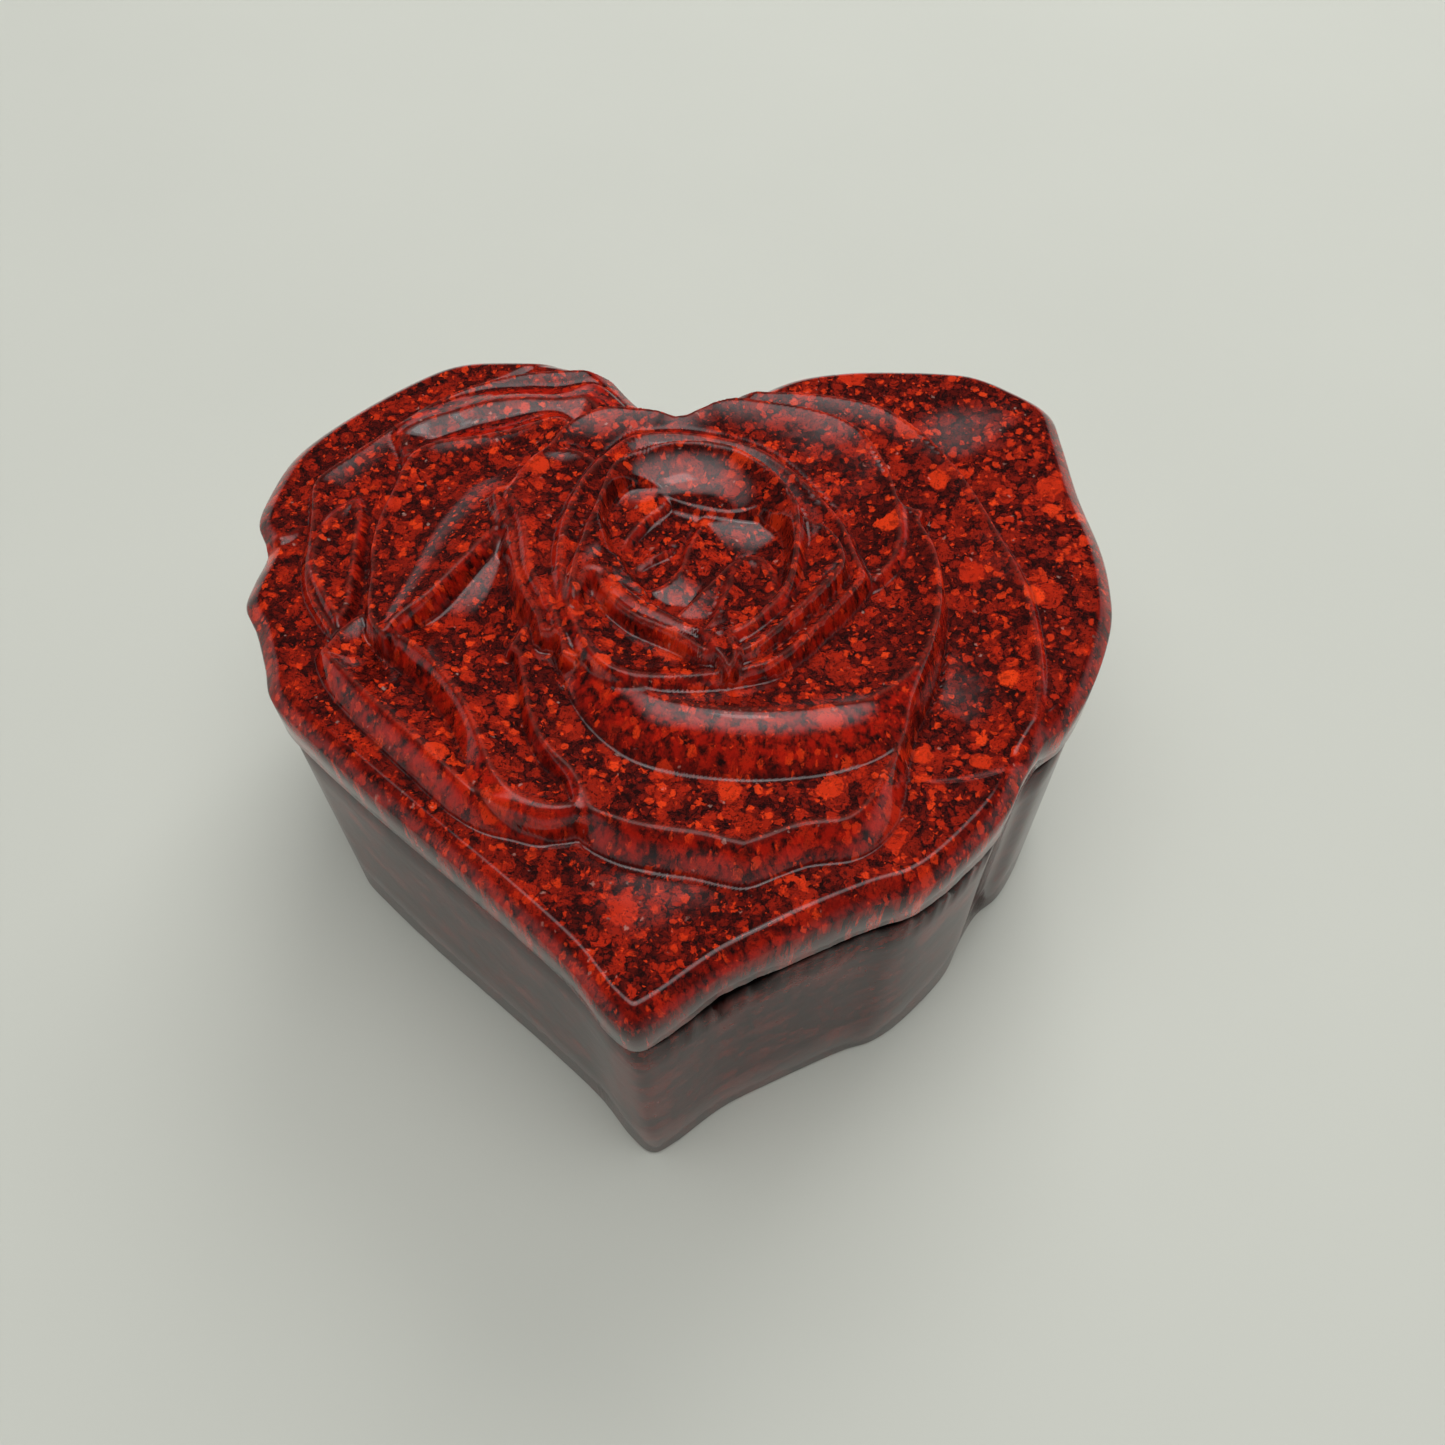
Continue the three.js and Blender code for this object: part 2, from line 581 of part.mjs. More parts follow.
// side is 1 for the lid's leaf, which holds the middle knuckle, and -1 for the base's.
function hingeLeaf(x, side) {
  const { y, z, radius, width, leafLength, knuckle, bore, screwRise, screwSpread } = HINGE;
  const half = width / 2;
  const end = knuckle / 2;
  const gap = 0.15;
  const near = z + side * (radius + 0.35);
  const depth = [leafBack, leafFace];
  const plate = block([x - half, x + half], depth, between(near, near + side * leafLength));
  const outer = [[-half, -end - gap], [end + gap, half]];
  const spans = side > 0 ? [[gap - end, end - gap]] : outer;
  const knuckles = spans.map(([a, b]) => barX(radius, y, z, x + a, x + b, 16));
  const arms = spans.map(([a, b]) => block([x + a, x + b], depth, between(z, near + side * 0.6)));
  const holes = [-1, 1].map((s) => {
    const hole = new THREE.CylinderGeometry(0.75, 0.75, 6, 10);
    return hole.translate(x + s * screwSpread, leafBack, z + side * screwRise);
  });
  return cut(join(plate, ...knuckles, ...arms), barX(bore, y, z, x - half - 1, x + half + 1, 16), ...holes);
}

function hingeScrew(x, z) {
  const head = new THREE.CylinderGeometry(1.2, 1.2, 0.5, 12).translate(x, leafFace + 0.35, z);
  const length = HINGE.leafThick + 0.3;
  const shank = new THREE.CylinderGeometry(0.6, 0.6, length, 10);
  return join(head, shank.translate(x, leafFace + 0.2 - length / 2, z));
}

function hingePin(x) {
  const reach = HINGE.width / 2 + 0.4;
  return barX(HINGE.pin, HINGE.y, HINGE.z, x - reach, x + reach, 16);
}

for (const [hand, x] of Object.entries(HINGE.x)) {
  put(`hinge_pin_${hand}`, hingePin(x), STEEL);
  for (const [part, side] of [["base", -1], ["lid", 1]]) {
    put(`hinge_leaf_${part}_${hand}`, hingeLeaf(x, side), BRASS);
    [-1, 1].forEach((s, i) => {
      const made = hingeScrew(x + s * HINGE.screwSpread, HINGE.z + side * HINGE.screwRise);
      put(`hinge_screw_${part}_${hand}_${i + 1}`, made, BRASS);
    });
  }
}

// ----- the movement: frame -----
const combUnder = AXIS_Z - COMB.thick / 2;
const seatTop = combUnder - CLEAR;
const bedTop = BED.thick + CLEAR;

function bedplate() {
  const plate = block(BED.x, BED.y, [0, BED.thick]);
  const seat = block([-20.4, 4], [COMB.back - 0.6, COMB.root + 1.2], [BED.thick - 0.5, seatTop]);
  const bores = [
    bar(ARBOR_RADIUS + 0.3, BARREL.x, BARREL.y, -1, BED.thick + 1),
    ...bedScrews.map(([x, y]) => bar(0.7, x, y, -1, BED.thick + 1, 10)),
  ];
  return cut(join(plate, seat), ...bores);
}

// From below, through the bottom panel: washer head, spacer and thread.
function bedScrew([x, y]) {
  return join(
    bar(2.6, x, y, -4.4, -3.3, 12),
    bar(1.4, x, y, -3.6, -0.2, 12),
    bar(0.6, x, y, -0.3, BED.thick - 0.2, 10),
  );
}

function comb() {
  const { teeth, pitch, width, tip, root, back, thick, side, screws, screwY } = COMB;
  const span = teeth * pitch;
  const left = (CYLINDER.low + CYLINDER.high - span) / 2;
  const points = [[left - side, back], [left + span + side, back], [left + span + side, root]];
  for (let i = teeth - 1; i >= 0; i--) {
    const middle = left + (i + 0.5) * pitch;
    points.push([middle + width / 2, root], [middle + width * 0.3, tip]);
    points.push([middle - width * 0.3, tip], [middle - width / 2, root]);
  }
  points.push([left - side, root]);
  const plate = extrude(polygon(points), thick).translate(0, 0, combUnder);
  return cut(plate, ...screws.map((x) => bar(1.1, x, screwY, 0, 30, 12)));
}

function combScrew(x) {
  const under = combUnder + COMB.thick + CLEAR;
  const shank = bar(0.95, x, COMB.screwY, seatTop + 0.2, under + 0.2, 12);
  return join(bar(2, x, COMB.screwY, under, under + 1.1, 14), shank);
}

// holds the arbor's top and the cylinder's right pivot
function barrelBridge() {
  const { x: [x0, x1], front, back, low, high } = BRIDGE;
  const deck = block([x0 + 1.6, x1], [front, back], [low, high]);
  const legs = [[front, front + 1.4], [back - 1.2, back]].map((depth) => (
    block([x0 + 1.6, x1], depth, [bedTop, high])
  ));
  const bearing = [BARREL.y - 2.2, BARREL.y + 2.2];
  const lug = block([x0, x0 + 1.8], bearing, [low - 0.6, AXIS_Z + 2]);
  const arm = block([x0, x0 + 3], bearing, [low, high]);
  const pivot = barX(CYLINDER.pivot + 0.1, BARREL.y, AXIS_Z, x0 - 1, x0 + 2.6, 16);
  return cut(join(deck, ...legs, lug, arm), bar(1.1, BARREL.x, BARREL.y, 10, 20), pivot);
}

// back wall, two arms for the worm's pivots and two cheeks for the wheel's arbor
function governorFrame() {
  const { arm, cheeks, wall, top } = FRAME;
  const inWall = wall[0] + 0.4;
  const back = block([-29, -21.6], wall, [bedTop, top]);
  const arms = [[FAN.high + 0.9, top], [bedTop, BED.thick + 1.8]].map((span) => (
    block(arm, [WORM.y - 1.6, inWall], span)
  ));
  const sides = cheeks.map((span) => (
    block(span, [GOVERNOR.y - 2, inWall], [GOVERNOR.z - 2, GOVERNOR.z + 2])
  ));
  const arbor = barX(0.65, GOVERNOR.y, GOVERNOR.z, -32, -20, 14);
  const pivots = bar(0.55, WORM_WHEEL.x, WORM.y, BED.thick + 0.6, 30, 14);
  return cut(join(back, ...arms, ...sides), arbor, pivots);
}

function cylinderBearing() {
  const post = block([-22.2, -21.3], [BARREL.y - 2, BARREL.y + 2], [bedTop, AXIS_Z + 2]);
  return cut(post, barX(CYLINDER.pivot + 0.1, BARREL.y, AXIS_Z, -25, -20, 14));
}

// one-way wrap spring on the arbor, just above the bedplate
function clickSpring() {
  const low = BED.thick + 0.3;
  return spring(2.25, 0.2, 2.4, BARREL.x, BARREL.y, low, low + 1.1);
}

put("bedplate", bedplate(), ZINC, movement);
bedScrews.forEach((place, i) => put(`movement_screw_${i + 1}`, bedScrew(place), STEEL, movement));
put("comb", comb(), STEEL, movement);
COMB.screws.forEach((x, i) => put(`comb_screw_${i + 1}`, combScrew(x), BRASS, movement));
put("barrel_bridge", barrelBridge(), BRASS, movement);
put("governor_frame", governorFrame(), ZINC, movement);
put("cylinder_bearing", cylinderBearing(), BRASS, movement);
put("click_spring", clickSpring(), STEEL, movement);

// ----- winding: arbor and butterfly key -----
function windingArbor() {
  const collar = BARREL.low + 1.1;
  return join(
    bar(ARBOR_RADIUS, BARREL.x, BARREL.y, -9, 13.2),
    bar(1.0, BARREL.x, BARREL.y, 13, 15.6, 16),
    bar(2.6, BARREL.x, BARREL.y, collar, collar + 5.5, 16),
  );
}

function windingKey() {
  const { low, high, reach, thick, hub, foot } = KEY;
  const top = high - low;
  const wings = new THREE.Shape();
  wings.moveTo(-2, top - 1.2);
  wings.bezierCurveTo(-5, top + 0.4, -reach, top, -reach, 3.4);
  wings.bezierCurveTo(-reach, -0.6, -5, -0.6, -2, foot);
  wings.lineTo(2, foot);
  wings.bezierCurveTo(5, -0.6, reach, -0.6, reach, 3.4);
  wings.bezierCurveTo(reach, top, 5, top + 0.4, 2, top - 1.2);
  wings.closePath();
  const plate = extrude(wings, thick).translate(0, 0, -thick / 2).rotateX(Math.PI / 2);
  const grip = plate.translate(BARREL.x, BARREL.y, low - MOVEMENT.z);
  const sleeve = bar(hub, BARREL.x, BARREL.y, low + 1 - MOVEMENT.z, high - MOVEMENT.z);
  const bore = bar(ARBOR_RADIUS + 0.12, BARREL.x, BARREL.y, -9.2, high + 1 - MOVEMENT.z);
  return cut(join(grip, sleeve), bore);
}

put("winding_arbor", windingArbor(), STEEL, movement);
put("winding_key", windingKey(), BRASS, movement);

// ----- going barrel with crown teeth -----
function springBarrel() {
  const { radius, low, high, wall, x, y } = BARREL;
  const hole = ARBOR_RADIUS + 0.15;
  const drum = turned([
    [hole, high - wall], [radius - wall, high - wall], [radius - wall, low], [radius, low],
    [radius, high], [hole, high], [hole, high - wall],
  ], CROWN.teeth, x, y);
  const { root, tip, height, face } = CROWN;
  const wedge = polygon([[-root / 2, -0.3], [root / 2, -0.3], [tip / 2, height], [-tip / 2, height]]);
  const tooth = extrude(wedge, face).rotateX(Math.PI / 2).rotateZ(Math.PI / 2);
  tooth.translate(CROWN.radius - face / 2, 0, high);
  const teeth = Array.from({ length: CROWN.teeth }, (_, i) => (
    tooth.clone().rotateZ(Math.PI + (i * TAU) / CROWN.teeth).translate(x, y, 0)
  ));
  return join(drum, ...teeth);
}

function barrelCover() {
  const { radius, wall, x, y, low } = BARREL;
  return ring(ARBOR_RADIUS + 0.2, radius - wall - CLEAR, x, y, low, low + 0.7);
}

function mainspring() {
  const { turns, strip, inner, outer, height } = SPRING;
  const steps = 14 * turns;
  const edge = (side) => Array.from({ length: steps + 1 }, (_, i) => {
    const t = i / steps;
    const r = inner + (outer - inner) * t + side;
    return [r * Math.cos(t * turns * TAU), r * Math.sin(t * turns * TAU)];
  });
  const strips = polygon([...edge(strip / 2), ...edge(-strip / 2).reverse()]);
  return extrude(strips, height).translate(BARREL.x, BARREL.y, BARREL.low + 1.2);
}

put("spring_barrel", springBarrel(), BRASS, movement);
put("barrel_cover", barrelCover(), BRASS, movement);
put("mainspring", mainspring(), STEEL, movement);

// ----- pinned cylinder with its arbor, drive pinion and wheel -----
function cylinderArbor() {
  const gapDown = -Math.PI / 2 + Math.PI / DRIVE.teeth; // a gap of the pinion faces the crown
  return join(
    barX(CYLINDER.arbor, BARREL.y, AXIS_Z, -20.9, 5.4, 16),
    barX(CYLINDER.pivot, BARREL.y, AXIS_Z, -22.3, 9, 12),
    gearOnX(gearShape(DRIVE, gapDown), BARREL.y, AXIS_Z, DRIVE.low, DRIVE.high),
  );
}

function pinnedCylinder() {
  const { radius, low, high, arbor } = CYLINDER;
  const bore = arbor + 0.05;
  const tube = turned([[bore, low], [radius, low], [radius, high], [bore, high], [bore, low]], 32, 0, 0);
  return tube.rotateY(Math.PI / 2).translate(0, BARREL.y, AXIS_Z);
}

function cylinderWheel() {
  const wheel = gearOnX(gearShape(WHEEL, GOVERNOR_TILT), BARREL.y, AXIS_Z, WHEEL.low, WHEEL.high);
  return cut(wheel, barX(CYLINDER.arbor + 0.05, BARREL.y, AXIS_Z, -22, -18, 16));
}

put("cylinder_arbor", cylinderArbor(), BRASS, movement);
put("pinned_cylinder", pinnedCylinder(), BRASS, movement);
put("cylinder_wheel", cylinderWheel(), BRASS, movement);

// ----- governor: arbor with pinion, worm wheel, worm and fan -----
function governorArbor() {
  const gapToWheel = GOVERNOR_TILT + Math.PI + Math.PI / PINION.teeth;
  const pinion = gearShape(PINION, gapToWheel);
  return join(
    barX(0.8, GOVERNOR.y, GOVERNOR.z, -27.7, -23.6, 12),
    barX(0.55, GOVERNOR.y, GOVERNOR.z, -28.8, -18.8, 12),
    gearOnX(pinion, GOVERNOR.y, GOVERNOR.z, WHEEL.low, WHEEL.high),
  );
}

function wormWheel() {
  const half = WORM_WHEEL.thick / 2;
  const shape = gearShape(WORM_WHEEL, Math.PI);
  const wheel = gearOnX(shape, GOVERNOR.y, GOVERNOR.z, WORM_WHEEL.x - half, WORM_WHEEL.x + half);
  return cut(wheel, barX(0.85, GOVERNOR.y, GOVERNOR.z, -27, -23, 12));
}

// The worm's right-hand thread: a section winding up the core. At the wheel's side (+Y) a gap of
// the thread is level with the wheel's axis, where a tooth lies.
function wormThread() {
  const perTurn = 12;
  const count = perTurn * WORM.turns;
  const low = GOVERNOR.z - (WORM.turns * WORM.lead) / 2;
  const inner = WORM.core - 0.12;
  const loops = Array.from({ length: count + 1 }, (_, i) => {
    const a = (i / perTurn) * TAU - Math.PI / 2;
    const z = low + (i / perTurn) * WORM.lead;
    const tip = THREE.MathUtils.lerp(inner + 0.02, WORM.tip, Math.min(1, i / 4, (count - i) / 4));
    const section = [[inner, 0.17], [tip, 0.1], [tip, -0.1], [inner, -0.17]];
    return section.map(([r, h]) => (
      new THREE.Vector3(WORM_WHEEL.x + r * Math.cos(a), WORM.y + r * Math.sin(a), z + h)
    ));
  });
  return loft(loops);
}

function wormShaft() {
  return join(
    wormThread(),
    bar(WORM.core, WORM_WHEEL.x, WORM.y, BED.thick + 2.2, FAN.low + 1, 16),
    bar(0.4, WORM_WHEEL.x, WORM.y, BED.thick + 0.9, FRAME.top - 0.2, 12),
  );
}

function fan() {
  const { low, high, reach } = FAN;
  const hub = bar(0.95, WORM_WHEEL.x, WORM.y, low, high, 16);
  const blade = block([-reach, reach], [-0.2, 0.2], [low + 0.4, high]).rotateZ(0.6);
  const socket = bar(WORM.core + 0.06, WORM_WHEEL.x, WORM.y, low - 1, low + 1.1, 16);
  const bore = bar(0.46, WORM_WHEEL.x, WORM.y, low - 1, high + 1, 12);
  return cut(join(hub, blade.translate(WORM_WHEEL.x, WORM.y, 0)), socket, bore);
}

put("governor_arbor", governorArbor(), STEEL, movement);
put("worm_wheel", wormWheel(), BRASS, movement);
put("worm_shaft", wormShaft(), STEEL, movement);
put("fan", fan(), BRASS, movement);

// ----- stop plunger: the lid holds it down against the fan -----
const coverTop = COVER.top - MOVEMENT.z;
const plungerTop = PLUNGER.top - MOVEMENT.z;
const guideTop = coverTop + 1.6;

function stopPlunger() {
  return join(
    bar(PLUNGER.radius, PLUNGER.x, WORM.y, PLUNGER.low, plungerTop, 14),
    bar(PLUNGER.collar, PLUNGER.x, WORM.y, plungerTop - 5.2, plungerTop - 4.4, 14),
    bar(1.3, PLUNGER.x, WORM.y, plungerTop - 1.4, plungerTop, 14),
  );
}

function plungerGuide() {
  return ring(PLUNGER.radius + 0.1, 2.4, PLUNGER.x, WORM.y, coverTop + CLEAR, guideTop, 16);
}

function plungerSpring() {
  return spring(1.25, 0.16, 4, PLUNGER.x, WORM.y, guideTop + 0.3, plungerTop - 5.5);
}

// ----- clear cover over the movement -----
function movementCover() {
  const { x, y, wall } = COVER;
  const inner = ([low, high]) => [low + wall, high - wall];
  const hollow = block(inner(x), inner(y), [-1, coverTop - wall]);
  const hole = bar(PLUNGER.radius + 0.3, PLUNGER.x, WORM.y, coverTop - wall - 1, coverTop + 1, 16);
  return cut(block(x, y, [0, coverTop]), hollow, hole);
}

put("stop_plunger", stopPlunger(), BRASS, movement);
put("plunger_guide", plungerGuide(), BRASS, movement);
put("plunger_spring", plungerSpring(), STEEL, movement);
put("movement_cover", movementCover(), CLEAR_PLASTIC, movement);

export default box;
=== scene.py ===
"""Looks of a heart-shaped wind-up music box with a carved rose on its hinged lid.

Lengths in the tables are millimetres in the heart's own plan; MM turns them into metres.
"""
import math
from fnmatch import fnmatch

import bpy
import numpy as np
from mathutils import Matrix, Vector


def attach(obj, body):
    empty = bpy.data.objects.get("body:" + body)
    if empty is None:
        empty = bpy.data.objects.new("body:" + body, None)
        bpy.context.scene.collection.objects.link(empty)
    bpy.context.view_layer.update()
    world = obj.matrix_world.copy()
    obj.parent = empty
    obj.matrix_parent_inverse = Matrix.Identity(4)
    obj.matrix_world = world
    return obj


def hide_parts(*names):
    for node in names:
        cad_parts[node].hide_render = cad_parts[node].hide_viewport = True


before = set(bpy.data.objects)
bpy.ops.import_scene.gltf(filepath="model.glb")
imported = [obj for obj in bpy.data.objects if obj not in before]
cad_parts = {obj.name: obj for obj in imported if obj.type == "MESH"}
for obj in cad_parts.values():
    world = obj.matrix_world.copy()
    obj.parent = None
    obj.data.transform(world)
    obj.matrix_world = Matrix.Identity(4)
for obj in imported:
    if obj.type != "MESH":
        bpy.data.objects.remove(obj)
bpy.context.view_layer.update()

MM = 0.001
HEART_Y = -1.9  # the heart is set forward by the hinge barrels behind it
CENTRE = (1.0, 4.0)  # every heart-shaped loop is measured out from here
WALL = 4.0
BASE_INSET = 0.6
LID_EDGE = 64.0
RIM_ROUND = 2.8  # how far in the lid's edge starts to round over
RIM_DROP = 2.5
RIM_DISH = 0.6
RIM_FADE = 5.0
RIM_BULGE = 1.4
FLANK_BULGE = 1.3  # 1 for a straight wall on a petal, more for a rounder one
LID_SEAM = 52.6  # the lid's lower face
BASE_TOP = 52.2
LID_CEILING = 57.4
PAD_GAP = 0.15  # between a velvet pad and the wall round it
TURNS = 720  # points round a heart-shaped loop
LID_CELLS = 288  # squares across the lid's carved top
BACKDROP_TOP = 20  # degrees above the horizon
BACKDROP_FULL = 3


# ---------- camera, light and floor ----------
def add_camera():
    """Looks down on the box from the front, a little to the right."""
    data = bpy.data.cameras.new("camera")
    data.lens = 34.75
    data.sensor_width = 36
    data.clip_start = 0.01
    camera = bpy.data.objects.new("camera", data)
    bpy.context.scene.collection.objects.link(camera)
    camera.location = Vector((11.5, -117.3, 230.4)) * MM
    aim = Vector((6.5, 23.8, 0)) * MM - camera.location
    camera.rotation_euler = aim.to_track_quat("-Z", "Y").to_euler()
    bpy.context.scene.camera = camera


def add_softbox(name, place, aim, width, height, radiance, mirrored=True):
    """A rectangular lamp whose face has the given radiance.

    Unmirrored, it lights but isn't seen in the gloss."""
    data = bpy.data.lights.new(name, "AREA")
    data.shape = "RECTANGLE"
    data.size = width
    data.size_y = height
    data.energy = radiance * math.pi * width * height
    lamp = bpy.data.objects.new(name, data)
    bpy.context.scene.collection.objects.link(lamp)
    lamp.location = place
    lamp.rotation_euler = (Vector(aim) - Vector(place)).to_track_quat("-Z", "Y").to_euler()
    lamp.visible_glossy = mirrored


def add_world(middle, strength, dim, edge, core, width, backdrop):
    """A dim room with a pale backdrop low down, under one big soft window of light.

    The window lies round the middle direction and is `width` times as wide as deep."""
    world = bpy.data.worlds.new("room")
    world.use_nodes = True
    tree = world.node_tree
    spot = tree.nodes.new("ShaderNodeTexCoord")
    narrow = tree.nodes.new("ShaderNodeVectorMath")
    narrow.operation = "MULTIPLY"
    narrow.inputs[1].default_value = (1 / width, 1, 1)
    tree.links.new(spot.outputs["Generated"], narrow.inputs[0])
    unit = tree.nodes.new("ShaderNodeVectorMath")
    unit.operation = "NORMALIZE"
    tree.links.new(narrow.outputs["Vector"], unit.inputs[0])
    near = tree.nodes.new("ShaderNodeVectorMath")
    near.operation = "DOT_PRODUCT"
    near.inputs[1].default_value = Vector(middle).normalized()
    tree.links.new(unit.outputs["Vector"], near.inputs[0])
    fade = tree.nodes.new("ShaderNodeMapRange")
    fade.interpolation_type = "SMOOTHSTEP"
    fade.inputs["From Min"].default_value = math.cos(math.radians(edge))
    fade.inputs["From Max"].default_value = math.cos(math.radians(core))
    fade.inputs["To Min"].default_value = dim
    fade.inputs["To Max"].default_value = strength
    tree.links.new(near.outputs["Value"], fade.inputs["Value"])
    apart = tree.nodes.new("ShaderNodeSeparateXYZ")
    tree.links.new(spot.outputs["Generated"], apart.inputs["Vector"])
    low = tree.nodes.new("ShaderNodeMapRange")
    low.interpolation_type = "SMOOTHSTEP"
    low.inputs["From Min"].default_value = math.sin(math.radians(BACKDROP_TOP))
    low.inputs["From Max"].default_value = math.sin(math.radians(BACKDROP_FULL))
    low.inputs["To Min"].default_value = 0
    low.inputs["To Max"].default_value = backdrop
    tree.links.new(apart.outputs["Z"], low.inputs["Value"])
    both = tree.nodes.new("ShaderNodeMath")
    tree.links.new(fade.outputs["Result"], both.inputs[0])
    tree.links.new(low.outputs["Result"], both.inputs[1])
    background = tree.nodes["Background"]
    background.inputs["Color"].default_value = (1, 1, 0.99, 1)
    tree.links.new(both.outputs["Value"], background.inputs["Strength"])
    bpy.context.scene.world = world


# ---------- shader helper ----------
class Shader:
    """A material's node tree, with short calls that add nodes and set or link their sockets."""

    def __init__(self, name):
        self.material = bpy.data.materials.new(name)
        self.material.use_nodes = True
        self.tree = self.material.node_tree
        self.main = self.tree.nodes["Principled BSDF"]

    def feed(self, socket, value):
        if isinstance(value, bpy.types.NodeSocket):
            self.tree.links.new(value, socket)
        else:
            socket.default_value = value

    def add(self, kind, sockets, out=0, **settings):
        made = self.tree.nodes.new("ShaderNode" + kind)
        for key, value in settings.items():
            setattr(made, key, value)
        for key, value in sockets.items():
            self.feed(made.inputs[key], value)
        return made.outputs[out]

    def maths(self, operation, a, b=0.0, clamp=False):
        return self.add("Math", {0: a, 1: b}, operation=operation, use_clamp=clamp)

    def scaled(self, value, factor, offset):
        return self.add("Math", {0: value, 1: factor, 2: offset}, operation="MULTIPLY_ADD")

    def mark(self, name):
        """A value that the mesh carries at each point, 0 where it carries none."""
        return self.add("Attribute", {}, out="Fac", attribute_name=name)

    def blend(self, factor, a, b, mode="MIX"):
        mixed = self.tree.nodes.new("ShaderNodeMix")
        mixed.data_type = "RGBA"
        mixed.blend_type = mode
        self.feed(mixed.inputs["Factor"], factor)
        self.feed(mixed.inputs[6], a)
        self.feed(mixed.inputs[7], b)
        return mixed.outputs[2]

    def place(self, scale=(1, 1, 1)):
        """The surface point in millimetres, stretched by scale."""
        spot = self.add("TexCoord", {}, out="Object")
        return self.add("Mapping", {"Vector": spot, "Scale": tuple(1000 * s for s in scale)})

    def noise(self, vector, scale, detail=2.0, roughness=0.5, out="Fac"):
        sockets = {"Vector": vector, "Scale": scale, "Detail": detail, "Roughness": roughness}
        return self.add("TexNoise", sockets, out)

    def ramp(self, value, low, high):
        """0 below low, 1 above high, smooth between."""
        return self.add("MapRange", {"Value": value, "From Min": low, "From Max": high},
                        interpolation_type="SMOOTHSTEP")

    def bump(self, height, distance, strength=1.0, normal=None):
        sockets = {"Height": height, "Distance": distance, "Strength": strength}
        if normal is not None:
            sockets["Normal"] = normal
        return self.add("Bump", sockets)

    def set(self, **values):
        names = {"base": "Base Color", "roughness": "Roughness", "metallic": "Metallic", "ior": "IOR",
                 "specular": "Specular IOR Level", "coat": "Coat Weight", "coat_roughness": "Coat Roughness",
                 "coat_ior": "Coat IOR", "normal": "Normal", "coat_normal": "Coat Normal",
                 "sheen": "Sheen Weight", "sheen_roughness": "Sheen Roughness", "sheen_tint": "Sheen Tint",
                 "alpha": "Alpha", "transmission": "Transmission Weight", "anisotropy": "Anisotropic"}
        for key, value in values.items():
            self.feed(self.main.inputs[names[key]], value)
        return self.material


# ---------- materials ----------
BLACK = (0.014, 0.003, 0.003, 1)
MAROON = (0.09, 0.006, 0.004, 1)
DARK_RED = (0.26, 0.012, 0.005, 1)
RED = (0.56, 0.024, 0.006, 1)
FLAME = (1.0, 0.065, 0.010, 1)


